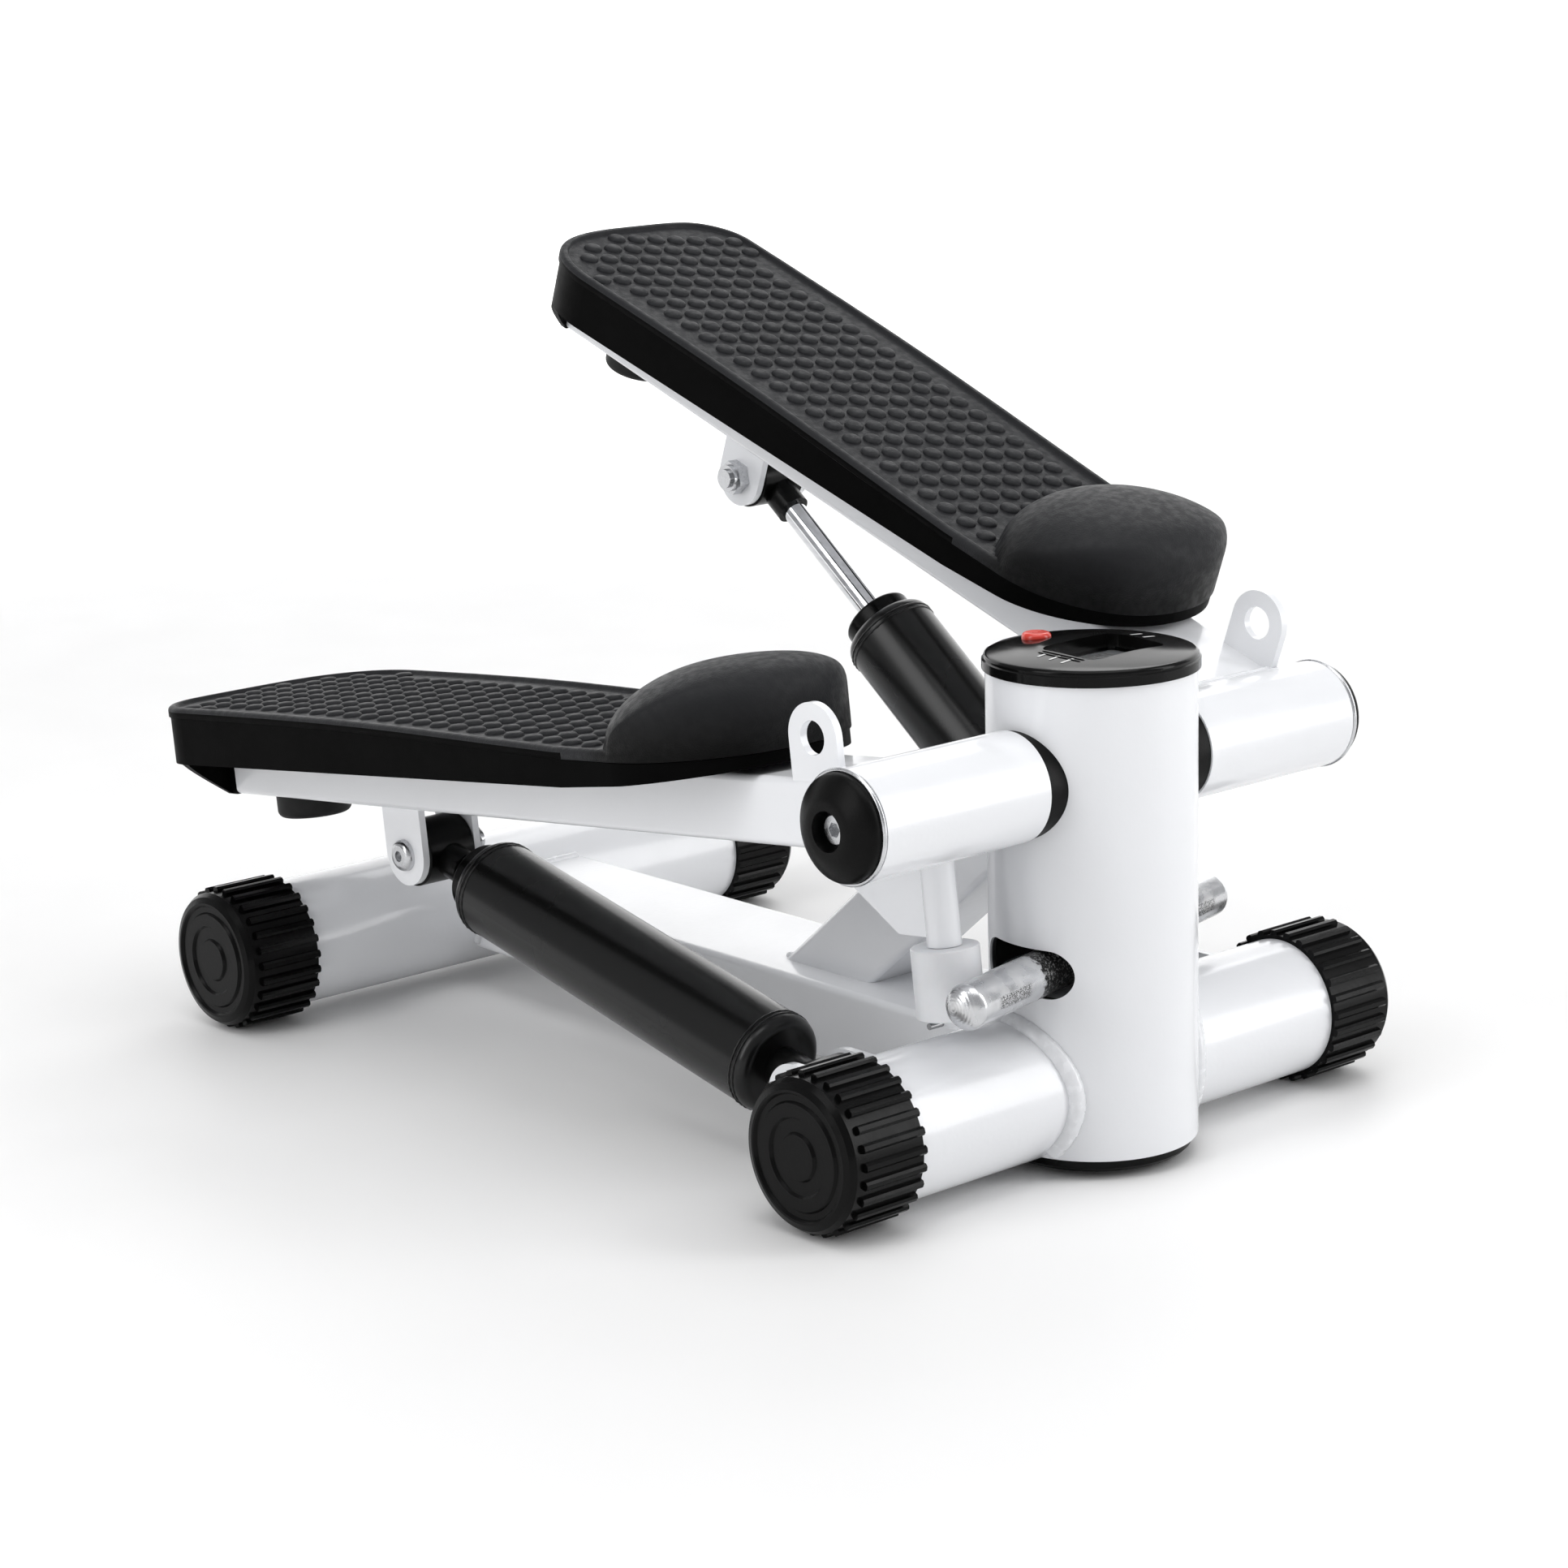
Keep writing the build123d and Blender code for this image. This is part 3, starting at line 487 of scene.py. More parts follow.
def display_grey():
    n = Nodes("display_grey")
    tone = n.noise(120.0, 3.0)
    n.colour(n.tones(tone, (0.150, 0.158, 0.165), (0.178, 0.186, 0.192)))
    n.roughness(n.vary(tone, 0.3, 0.4))
    return n.set(Specular_IOR_Level=0.4)


def window_plastic():
    """Clear window over the display."""
    n = Nodes("window_plastic")
    tone = n.noise(70.0, 2.0)
    n.colour(n.tones(tone, shade(0.96), shade(1.0)))
    n.roughness(n.vary(tone, 0.02, 0.05))
    return n.set(Transmission_Weight=1.0, IOR=1.1)


def printed(name, low, high):
    """Screen-printed marks and display segments."""
    n = Nodes(name)
    tone = n.noise(400.0, 3.0)
    n.colour(n.tones(tone, shade(low), shade(high)))
    n.roughness(n.vary(tone, 0.4, 0.5))
    return n.material


def board_green():
    n = Nodes("board_green")
    tone = n.cells(300.0)
    n.colour(n.ramp(tone, (0.2, (0.02, 0.10, 0.04)), (0.8, (0.03, 0.14, 0.06))))
    n.roughness(n.span(tone, 0.0, 1.0, 0.35, 0.5))
    return n.material


GLOW_START = 0.7
GLOW_END = 3.2
FAR_GLOW = 1.0


def floor_paint():
    """Pale floor that glows more the farther it lies from the machine."""
    n = Nodes("floor_paint")
    tone = n.noise(1.5, 2.0)
    n.colour(n.tones(tone, (0.875, 0.872, 0.868), (0.885, 0.882, 0.878)))
    n.roughness(n.vary(n.noise(20.0), 0.5, 0.6))
    far = n.span(n.distance_to(Vector((0, 0, 0))), GLOW_START, GLOW_END, 0.0, FAR_GLOW)
    n.join(far, n.shader.inputs["Emission Strength"])
    return n.set(Specular_IOR_Level=0.25, Emission_Color=(1.0, 0.998, 0.995, 1.0))


PAINT = white_paint()
COLUMN_PAINT = column_paint()
WELD = weld_paint()
NYLON = white_nylon()
DAMPER_BLACK = black_paint()
FOOT_BLACK = black_satin("foot_plastic", 0.0012, 0.0025, 0.24, 700.0, 0.12)
SKIRT_BLACK = black_satin("skirt_plastic", 0.0010, 0.0020, 0.45, 1100.0, 0.02)
CAP_BLACK = black_satin("cap_plastic", 0.0015, 0.003, 0.36, 1300.0, 0.10)
RUBBER = black_satin("bumper_rubber", 0.006, 0.012, 0.6, 900.0, 0.25)
TREADS = {side: tread_rubber(side) for side in SIDES}
CHROME = chrome()
ZINC = zinc("zinc_plate", 0.68)
DARK_ZINC = zinc("dark_zinc", 0.30)
WORN = worn_bar()
HOUSING = gloss_black()
RED = red_plastic()
LCD = display_grey()
WINDOW = window_plastic()
WHITE_PRINT = printed("white_print", 0.55, 0.7)
LCD_INK = printed("display_ink", 0.012, 0.02)
LCD_GHOST = printed("display_ghost", 0.125, 0.14)
BOARD = board_green()

FINISHES = {
    "front_crossbar": PAINT, "rear_crossbar": PAINT, "spine_beam": PAINT,
    "column_tube": COLUMN_PAINT, "column_brace": PAINT, "column_floor_plug": FOOT_BLACK,
    "pivot_axle": ZINC, "pivot_spacers": CAP_BLACK, "pivot_end_caps": CAP_BLACK,
    "pivot_bolts": ZINC, "rocker_plates": PAINT, "rocker_pin": ZINC, "rocker_bar": WORN,
    "lower_clevises": PAINT, "lower_fasteners": ZINC, "console_housing": HOUSING,
    "console_lens": WINDOW, "lcd_panel": LCD, "console_electronics": BOARD,
    "console_button": RED, "foot_front": FOOT_BLACK, "foot_rear": FOOT_BLACK,
    "pivot_tube": PAINT, "pivot_bushes": NYLON, "arm_tube": PAINT, "arm_gusset": PAINT,
    "roller_post": PAINT, "split_pin": DARK_ZINC, "roller": NYLON, "eyelet_lug": PAINT,
    "upper_clevis": PAINT, "upper_fasteners": ZINC, "arm_bumper": RUBBER,
    "pedal_base": SKIRT_BLACK, "pedal_tread": SKIRT_BLACK, "pedal_screws": DARK_ZINC,
    "damper_cylinder": DAMPER_BLACK, "damper_gland": FOOT_BLACK, "damper_rod": CHROME,
    "damper_rod_eye": FOOT_BLACK,
}


def finish_nodes():
    """Give every CAD node the material of its family, the same on both sides."""
    for name, node in NODES.items():
        family = name
        for side in SIDES:
            family = family.removesuffix(f"_{side}")
        node.data.materials.clear()
        node.data.materials.append(FINISHES[family])


# ---- mesh helpers -----------------------------------------------------------------------

def steps(start, end, count):
    """Evenly spaced values from start to end, with both of them."""
    return [start + (end - start) * i / count for i in range(count + 1)]


def full_turn(count):
    """Evenly spaced angles round a circle."""
    return [2 * math.pi * i / count for i in range(count)]


def piece(name, points, faces, material, body, smooth=True):
    """Added object that rides with a body."""
    mesh = bpy.data.meshes.new(name)
    mesh.from_pydata([tuple(p) for p in points], [], faces)
    mesh.materials.append(material)
    mesh.update()
    for polygon in mesh.polygons:
        polygon.use_smooth = smooth
    thing = bpy.data.objects.new(name, mesh)
    bpy.context.scene.collection.objects.link(thing)
    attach(thing, body)
    return thing


STRIP_END_TAPER = 0.35
WELD_STEP = 0.0006
WELD_R = 0.0020
WELD_RIPPLE = 0.022
WELD_RIPPLE_LENGTH = 0.0052


def add_strip(points, faces, path, radius, closed, segments=10, ripple=0.0, ripple_length=0.003):
    """Append a round bead that follows a path; the ripples of a weld run along it."""
    count = len(path)
    start = len(points)
    travelled = 0.0
    for i, centre in enumerate(path):
        before = path[i - 1] if closed or i > 0 else centre
        after = path[(i + 1) % count] if closed or i < count - 1 else centre
        forward = (after - before).normalized()
        travelled += (centre - path[i - 1]).length if i else 0.0
        side = forward.orthogonal().normalized() if i == 0 else side - forward * side.dot(forward)
        side.normalize()
        up = forward.cross(side)
        swell = 1.0 + ripple * math.sin(2 * math.pi * travelled / ripple_length)
        end_taper = 1.0 if closed or 0 < i < count - 1 else STRIP_END_TAPER
        r = radius * swell * end_taper
        for a in full_turn(segments):
            points.append(centre + side * (r * math.cos(a)) + up * (r * math.sin(a)))
    rows = count if closed else count - 1
    for i in range(rows):
        j = (i + 1) % count
        for k in range(segments):
            m = (k + 1) % segments
            faces.append((start + i * segments + k, start + i * segments + m,
                          start + j * segments + m, start + j * segments + k))
    if not closed:
        faces.append(tuple(start + k for k in reversed(range(segments))))
        faces.append(tuple(start + (count - 1) * segments + k for k in range(segments)))


def evenly(path, step):
    """The same path with points about a step apart."""
    out = []
    for a, b in zip(path, path[1:]):
        pieces = max(1, round((b - a).length / step))
        out += [a.lerp(b, i / pieces) for i in range(pieces)]
    out.append(path[-1])
    return out


def weld(name, paths, body, radius=WELD_R):
    """Painted weld beads along open paths, as one piece."""
    points = []
    faces = []
    for path in paths:
        add_strip(points, faces, evenly(path, WELD_STEP), radius, closed=False,
                  ripple=WELD_RIPPLE, ripple_length=WELD_RIPPLE_LENGTH)
    return piece(name, points, faces, WELD, body)


# ---- welds ------------------------------------------------------------------------------

COLUMN_WELD_R = 0.0038
ARM_WELD_R = 0.0017
POST_WELD_R = 0.0013
ARM_ABOVE = 0.013
ARM_BELOW = 0.012


def tube_meets_column(sign):
    """Line where the front cross tube enters the column, down to just above the column's foot."""
    path = []
    for a in full_turn(120):
        y = FRONT_TUBE.y + TUBE_R * math.cos(a)
        z = FRONT_TUBE.z + TUBE_R * math.sin(a)
        x = math.sqrt(COLUMN_R ** 2 - (y - COLUMN.y) ** 2)
        path.append(Vector((sign * x, y, z)))
    low = low_high("column_tube")[0].z + WELD_R
    return [p for p in path if p.z > low]


def rotate_to_gap(path):
    """Start an open loop of points at its widest gap."""
    gaps = [(path[i] - path[i - 1]).length for i in range(len(path))]
    first = gaps.index(max(gaps))
    return path[first:] + path[:first]


def on_column(x):
    """How far back the column's rear wall lies at a place across the machine."""
    return COLUMN.y + math.sqrt(COLUMN_R ** 2 - x * x)


def beam_weld_paths():
    """Beads where the spine beam meets the rear cross tube and the column."""
    low, high = low_high("spine_beam")
    inset = 0.003

    def on_rear_tube(x, z):
        reach = math.sqrt(TUBE_R ** 2 - (z - REAR_TUBE.z) ** 2)
        return Vector((x, REAR_TUBE.y - reach, z))

    paths = [[on_rear_tube(low.x + inset, high.z), on_rear_tube(high.x - inset, high.z)]]
    for x in (low.x, high.x):
        paths.append([on_rear_tube(x, z) for z in steps(high.z - inset, low.z + inset, 8)])
    paths.append([Vector((x, on_column(x), high.z)) for x in steps(low.x, high.x, 20)])
    return paths


def brace_weld_paths():
    """Beads along the brace's foot on the beam and along its top on the column."""
    low, high = low_high("column_brace")
    beam_top = low_high("spine_beam")[1].z
    slope = (high.z - low.z) / (high.y - low.y)
    inset = 0.002
    foot = [Vector((x, high.y, beam_top)) for x in (low.x + inset, high.x - inset)]
    top = []
    for x in steps(low.x + inset, high.x - inset, 16):
        y = on_column(x)
        top.append(Vector((x, y, high.z - (y - low.y) * slope)))
    return [foot, top]


def frame_welds():
    for side, sign in SIDES.items():
        path = tube_meets_column(sign)
        weld(f"column_weld_{side}", [rotate_to_gap(path)], "base", COLUMN_WELD_R)
    weld("beam_welds", beam_weld_paths(), "base")
    weld("brace_welds", brace_weld_paths(), "base")


def arm_welds(side):
    """Beads where the arm's top and side walls meet the pivot tube."""
    sign = SIDES[side]
    place = ARMS[side]
    low, high = low_high(f"arm_tube_{side}")
    walls = sorted((abs(low.x), abs(high.x)))
    inset = 0.0022

    def on_pivot_tube(x, z):
        return place @ Vector((sign * x, math.sqrt(PIVOT_TUBE_R ** 2 - z * z), z))

    paths = [[on_pivot_tube(x, ARM_ABOVE) for x in walls]]
    for x in walls:
        paths.append([on_pivot_tube(x, z) for z in steps(ARM_ABOVE - inset, inset - ARM_BELOW, 8)])
    return weld(f"arm_welds_{side}", paths, f"{side}_arm", ARM_WELD_R)


def post_weld(side):
    """Ring where the roller post meets the pivot tube."""
    place = ARMS[side]
    centre = place.inverted() @ middle(f"roller_post_{side}")
    radius = half_size(f"roller_post_{side}").x
    edge_margin = 0.0005
    ring = []
    for a in full_turn(40):
        x = centre.x + radius * math.cos(a)
        y = centre.y + radius * math.sin(a)
        if y < PIVOT_TUBE_R - edge_margin:
            z = -math.sqrt(PIVOT_TUBE_R ** 2 - y * y)
            ring.append(place @ Vector((x, y, z)))
    return weld(f"post_weld_{side}", [rotate_to_gap(ring)], f"{side}_arm", POST_WELD_R)


# ---- pedal tread ------------------------------------------------------------------------

DOME_R = 0.0039
DOME_HEIGHT = 0.0016
DOME_PITCH = 0.0117
ROW_PITCH = 0.0091
ROW_SHIFT = 0.0025
STUD_GUARD = 0.0008
STUD_UNEVEN = 0.0006
STUD_TILT = 0.97

PLAN_POINTS = 600
EDGE_ROUND = 0.0018
BORDER_WIDTH = 0.0040
BORDER_DEPTH = 0.0016
BORDER_SLOPE = 0.0009
COVER_THICKNESS = 0.0045
CROWN_SAMPLES = 20
CROWN_AFTER_STOP = 0.004
CROWN_BEFORE_HEEL = 0.012
STOP_WIDE = 0.056
STOP_LONG = 0.051
STOP_ARC = 0.56
STOP_ROUND = 0.017
STOP_HEADROOM = 0.0005
STOP_BLEND = 0.004
BORDER_BLEND = 0.0006
BELOW_TREAD = 0.006
ALMOST_ONE = 0.9999
RINGS = (0.0, 0.00015, 0.0005, 0.0011, 0.0018, 0.0025, 0.0031,
         0.0034, 0.0037, 0.0040, 0.0046, 0.0054, 0.0064)
INNER_RINGS = 40
SPINE_FROM_END = 0.052
SPINE_SHARE = 0.995
BEND_REACH = 0.045
BEND_START = 0.4
RAY_HEIGHT = 0.1


def tree_of(mesh):
    points = [v.co.copy() for v in mesh.vertices]
    return BVHTree.FromPolygons(points, [tuple(p.vertices) for p in mesh.polygons])


def pedal_plan(local):
    """The pedal's plan as evenly spaced points, anticlockwise, in the arm's frame."""
    flat = [Vector((p.x, p.y)) for p in local]
    corners = [flat[i] for i in convex_hull_2d(flat)]
    area = sum(a.x * b.y - b.x * a.y for a, b in zip(corners, corners[1:] + corners[:1]))
    if area < 0:
        corners.reverse()
    lengths = [(b - a).length for a, b in zip(corners, corners[1:] + corners[:1])]
    step = sum(lengths) / PLAN_POINTS
    plan = []
    edge = 0
    passed = 0.0
    for i in range(PLAN_POINTS):
        while passed + lengths[edge] < i * step:
            passed += lengths[edge]
            edge += 1
        share = (i * step - passed) / lengths[edge]
        plan.append(corners[edge].lerp(corners[(edge + 1) % len(corners)], share))
    return plan


def inward(plan):
    """Unit normals that point into the plan, smoothed over their neighbours."""
    count = len(plan)
    normals = []
    for i in range(count):
        run = plan[(i + 2) % count] - plan[i - 2]
        normals.append(Vector((-run.y, run.x)).normalized())
    return normals


def inset_of(spot, plan, rim_tree):
    """Distance from a spot inside the plan to the plan's edge."""
    nearest = rim_tree.find(spot.to_3d())[1]
    before, here, after = plan[nearest - 1], plan[nearest], plan[(nearest + 1) % len(plan)]
    gaps = []
    for a, b in ((before, here), (here, after)):
        on_line, share = intersect_point_line(spot.to_3d(), a.to_3d(), b.to_3d())
        close = on_line if 0.0 <= share <= 1.0 else here.to_3d()
        gaps.append((close - spot.to_3d()).length)
    return min(gaps)


def rounding(inset, radius):
    """How far a rounded edge has dropped at a distance from the rim."""
    if inset >= radius:
        return 0.0
    return radius - math.sqrt(radius ** 2 - (radius - inset) ** 2)


def clamped(value):
    return min(max(value, 0.0), 1.0)


def ease(share):
    """A share from 0 to 1 that starts and ends gently."""
    return share * share * (3 - 2 * share)


def smooth_max(a, b, blend):
    """The larger of two values, with a rounded change from one to the other."""
    return (a + b + math.sqrt((a - b) ** 2 + blend ** 2) - blend) / 2


class PedalTop:
    """Heights of one pedal's tread, border and toe stop, in the arm's frame."""

    def __init__(self, side):
        mesh = NODES[f"pedal_tread_{side}"].data
        self.place = ARMS[side]
        self.back = self.place.inverted()
        self.up = (self.place.to_3x3() @ Vector((0, 0, 1))).normalized()
        self.tree = tree_of(mesh)
        local = [self.back @ v.co for v in mesh.vertices]
        self.plan = pedal_plan(local)
        peak = max(local, key=lambda p: p.z)
        self.centre = Vector((peak.x, peak.y))
        self.peak = peak.z
        heel = max(p.y for p in self.plan)
        self.first = peak.y + STOP_LONG + CROWN_AFTER_STOP
        self.last = heel - CROWN_BEFORE_HEEL
        self.floor = [self.cast(y) for y in steps(self.first, self.last, CROWN_SAMPLES)]
        self.base = self.floor[0] + BORDER_DEPTH

    def cast(self, y):
        """Height of the CAD tread on its middle line."""
        start = self.place @ Vector((self.centre.x, y, RAY_HEIGHT))
        return (self.back @ self.tree.ray_cast(start, -self.up)[0]).z

    def crown(self, y):
        """Height of the border, which follows the crowned tread from toe to heel."""
        share = min(clamped((y - self.first) / (self.last - self.first)), ALMOST_ONE) * CROWN_SAMPLES
        i = int(share)
        low, high = self.floor[i], self.floor[i + 1]
        return low + (high - low) * (share - i) + BORDER_DEPTH

    def border(self, y, inset):
        """Height of the border and of the sunk floor inside it."""
        drop = clamped((inset - BORDER_WIDTH + BORDER_SLOPE) / BORDER_SLOPE)
        return self.crown(y) - BORDER_DEPTH * ease(drop) - rounding(inset, EDGE_ROUND)

    def bend(self, spot, share):
        """How far a row of points shifts so that it runs along the foot of the toe stop."""
        across = (spot.x - self.centre.x) / STOP_WIDE
        sag = STOP_LONG * (1.0 - math.sqrt(max(1.0 - across ** 2, 0.0)))
        near = max(1.0 - abs(spot.y - self.centre.y - STOP_LONG) / BEND_REACH, 0.0)
        return sag * ease(near) * ease(share)

    def toe_stop(self, x, y, inset):
        """Height of the domed toe stop, whose top is rounded off towards the pedal's edge."""
        r = ((x - self.centre.x) / STOP_WIDE) ** 2 + ((y - self.centre.y) / STOP_LONG) ** 2
        if r >= 1.0:
            return self.base - BELOW_TREAD
        dome = self.base + (self.peak - self.base) * (1.0 - r) ** STOP_ARC
        limit = self.peak + STOP_HEADROOM - rounding(inset, STOP_ROUND)
        return -smooth_max(-dome, -limit, STOP_BLEND)

    def point(self, spot, inset):
        """The spot of the plan, raised to the surface."""
        stop = self.toe_stop(spot.x, spot.y, inset)
        return Vector((spot.x, spot.y, smooth_max(self.border(spot.y, inset), stop, BORDER_BLEND)))


def close_spine(points, faces, start, count):
    """Fill the narrow slot inside the last ring, from its toe end to its heel end."""
    ring = list(range(start, start + count))
    toe = min(range(count), key=lambda i: points[ring[i]].y)
    ring = ring[toe:] + ring[:toe]
    heel = max(range(count), key=lambda i: points[ring[i]].y)
    up = ring[:heel + 1]
    down = [ring[0]] + ring[:heel - 1:-1]
    i = 0
    j = 0
    while i < len(up) - 1 or j < len(down) - 1:
        up_next = i < len(up) - 1 and (j == len(down) - 1 or points[up[i + 1]].y <= points[down[j + 1]].y)
        if up_next:
            faces.append((up[i], up[i + 1], down[j]))
            i += 1
        else:
            faces.append((up[i], down[j + 1], down[j]))
            j += 1


def pedal_rows(top):
    """Points of the moulding, row by row: its lower edge, its rim, then inwards to its middle line."""
    normals = inward(top.plan)
    low = min(p.y for p in top.plan) + SPINE_FROM_END
    high = max(p.y for p in top.plan) - SPINE_FROM_END
    rim_tree = KDTree(len(top.plan))
    for i, spot in enumerate(top.plan):
        rim_tree.insert(spot.to_3d(), i)
    rim_tree.balance()
    points = [Vector((spot.x, spot.y, top.crown(spot.y) - COVER_THICKNESS)) for spot in top.plan]
    for inset in RINGS:
        for spot, normal in zip(top.plan, normals):
            points.append(top.point(spot + normal * inset, inset))
    for ring in range(1, INNER_RINGS + 1):
        share = ring / INNER_RINGS
        for spot, normal in zip(top.plan, normals):
            rim = spot + normal * RINGS[-1]
            spine = Vector((top.centre.x, min(max(rim.y, low), high)))
            at = rim.lerp(spine, share * SPINE_SHARE)
            at.y -= top.bend(at, min(share / BEND_START, 1.0))
            points.append(top.point(at, inset_of(at, top.plan, rim_tree)))
    return points


def pedal_top(side):
    """Tread, raised border and toe stop as one moulding."""
    top = PedalTop(side)
    points = pedal_rows(top)
    count = len(top.plan)
    last = len(points) - count
    faces = [tuple(reversed(range(count)))]
    for row in range(0, last, count):
        for k in range(count):
            m = (k + 1) % count
            faces.append((row + k, row + m, row + count + m, row + count + k))
    close_spine(points, faces, last, count)
    placed = [top.place @ p for p in points]
    cover = piece(f"pedal_top_{side}", placed, faces, TREADS[side], f"{side}_arm")
    cover.data.materials.append(SKIRT_BLACK)
    # Painted shade: the side walls behind the toe stop are the tread's own rubber, but take the black
    # skirt plastic so they are darker than the lit top.
    wall_shade_slot = 1
    for k in range(count):
        wall = cover.data.polygons[1 + k]
        if top.plan[k].y > top.centre.y + STOP_LONG:
            wall.material_index = wall_shade_slot
    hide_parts(f"pedal_tread_{side}")
    return cover


def add_dome(points, faces, centre, across, along, up):
    """Low round stud with a small flared foot."""
    segments = 18
    rings = ((1.04, -0.08), (1.0, 0.28), (0.92, 0.60), (0.76, 0.84), (0.44, 0.97))
    start = len(points)
    for reach, rise in rings:
        for a in full_turn(segments):
            flat = across * math.cos(a) + along * math.sin(a)
            points.append(centre + flat * (DOME_R * reach) + up * (DOME_HEIGHT * rise))
    points.append(centre + up * DOME_HEIGHT)
    tip = len(points) - 1
    for ring in range(len(rings) - 1):
        for k in range(segments):
            m = (k + 1) % segments
            a = start + ring * segments
            faces.append((a + k, a + m, a + segments + m, a + segments + k))
    last = start + (len(rings) - 1) * segments
    for k in range(segments):
        faces.append((last + k, last + (k + 1) % segments, tip))


def tread_studs(side, cover):
    """Field of studs on the sunk floor of the tread, in skewed rows."""
    place = ARMS[side]
    back = place.inverted()
    tree = tree_of(cover.data)
    corners = [back @ v.co for v in cover.data.vertices]
    x_low = min(p.x for p in corners)
    x_high = max(p.x for p in corners)
    y_low = min(p.y for p in corners)
    y_high = max(p.y for p in corners)
    up = (place.to_3x3() @ Vector((0, 0, 1))).normalized()
    stud_ceiling = max(p.z for p in corners if p.y > (y_low + y_high) / 2)
    guard = DOME_R + STUD_GUARD
    slant = 0.7
    around = [(1, 0), (-1, 0), (0, 1), (0, -1)]
    around += [(dx * slant, dy * slant) for dx in (1, -1) for dy in (1, -1)]

    def floor_at(x, y):
        start = place @ Vector((x, y, RAY_HEIGHT))
        hit, normal, _, _ = tree.ray_cast(start, -up)
        return (None, None) if hit is None else (back @ hit, normal)

    def level_round(x, y, z):
        """Whether the floor round a spot is as high as the spot itself."""
        spots = [floor_at(x + guard * dx, y + guard * dy)[0] for dx, dy in around]
        return all(p is not None and abs(p.z - z) <= STUD_UNEVEN for p in spots)

    points = []
    faces = []
    rows = int((x_high - x_low) / ROW_PITCH) + 2
    columns = int((y_high - y_low) / DOME_PITCH) + 4
    for row in range(-rows // 2, rows // 2 + 1):
        x = (x_low + x_high) / 2 + row * ROW_PITCH
        offset = -SIDES[side] * row * ROW_SHIFT % DOME_PITCH
        for column in range(columns):
            y = y_high - column * DOME_PITCH + offset - DOME_PITCH
            here, normal = floor_at(x, y)
            if here is None or here.z > stud_ceiling or normal.dot(up) < STUD_TILT:
                continue
            if level_round(x, y, here.z):
                along = normal.cross(Vector((1, 0, 0))).normalized()
                across = along.cross(normal).normalized()
                add_dome(points, faces, place @ here, across, along, normal)
    return piece(f"tread_studs_{side}", points, faces, TREADS[side], f"{side}_arm")


# ---- console ----------------------------------------------------------------------------

MARK_LIFT = 0.00012
MARK_WIDTH = 0.0011
MARK_STEP = 0.001
MARK_PITCH = 0.0062
MARK_GAP = 0.0095
LEFT_MARK_LONGEST = 0.0060
LEFT_MARK_SHORTER = 0.0008
RIGHT_MARK_LENGTH = 0.0058
RIGHT_MARK_SHIFT = 0.001
RIDGE_GAP = 0.0058
RIDGE_PITCH = 0.0021
RIDGE_HALF = 0.0105
RIDGE_BOW = 0.0006
RIDGE_R = 0.00035
CONSOLE_RAY = 0.02


def on_console(tree, x, y):
    """The spot of the console's top at a place in plan."""
    hit = tree.ray_cast(Vector((x, y, CAP_TOP + CONSOLE_RAY)), Vector((0, 0, -1)))[0]
    return hit if hit is not None else Vector((x, y, CAP_TOP))


def bar_on(tree, x, y, length, points, faces):
    """Flat printed bar that lies on the surface below it."""
    cuts = max(2, round(length / MARK_STEP))
    start = len(points)
    for along in steps(x - length / 2, x + length / 2, cuts):
        for across in (y - MARK_WIDTH / 2, y + MARK_WIDTH / 2):
            points.append(Vector((along, across, on_console(tree, along, across).z + MARK_LIFT)))
    for i in range(cuts):
        a = start + 2 * i
        faces.append((a, a + 2, a + 3, a + 1))


def console_marks(tree, window, half_window):
    """Plain bars in the places where a console has its labels."""
    reach = half_window + MARK_GAP
    points = []
    faces = []
    for i in range(3):
        y = window.y + (i - 1) * MARK_PITCH
        bar_on(tree, window.x - reach, y, LEFT_MARK_LONGEST - LEFT_MARK_SHORTER * i, points, faces)
    for i in range(2):
        y = window.y + RIGHT_MARK_SHIFT + i * MARK_PITCH
        bar_on(tree, window.x + reach, y, RIGHT_MARK_LENGTH, points, faces)
    piece("console_marks", points, faces, WHITE_PRINT, "base", smooth=False)


def console_ridges(tree, window, half_window):
    """Two slightly bowed ridges beside the window."""
    cuts = 24
    points = []
    faces = []
    for i in range(2):
        x = window.x - half_window - RIDGE_GAP - RIDGE_PITCH * i
        path = []
        for j, y in enumerate(steps(window.y - RIDGE_HALF, window.y + RIDGE_HALF, cuts)):
            bow = RIDGE_BOW * (2 * j / cuts - 1) ** 2
            path.append(on_console(tree, x + bow, y))
        add_strip(points, faces, path, RIDGE_R, closed=False, segments=8)
    piece("console_ridges", points, faces, HOUSING, "base")


def console_details():
    tree = tree_of(NODES["console_housing"].data)
    window = middle("console_lens")
    half_window = half_size("console_lens").x
    console_marks(tree, window, half_window)
    console_ridges(tree, window, half_window)


def add_box(points, faces, low, high):
    start = len(points)
    for z in (low.z, high.z):
        for x, y in ((low.x, low.y), (high.x, low.y), (high.x, high.y), (low.x, high.y)):
            points.append(Vector((x, y, z)))
    for quad in ((0, 3, 2, 1), (4, 5, 6, 7), (0, 1, 5, 4), (1, 2, 6, 5), (2, 3, 7, 6), (3, 0, 4, 7)):
        faces.append(tuple(start + q for q in quad))


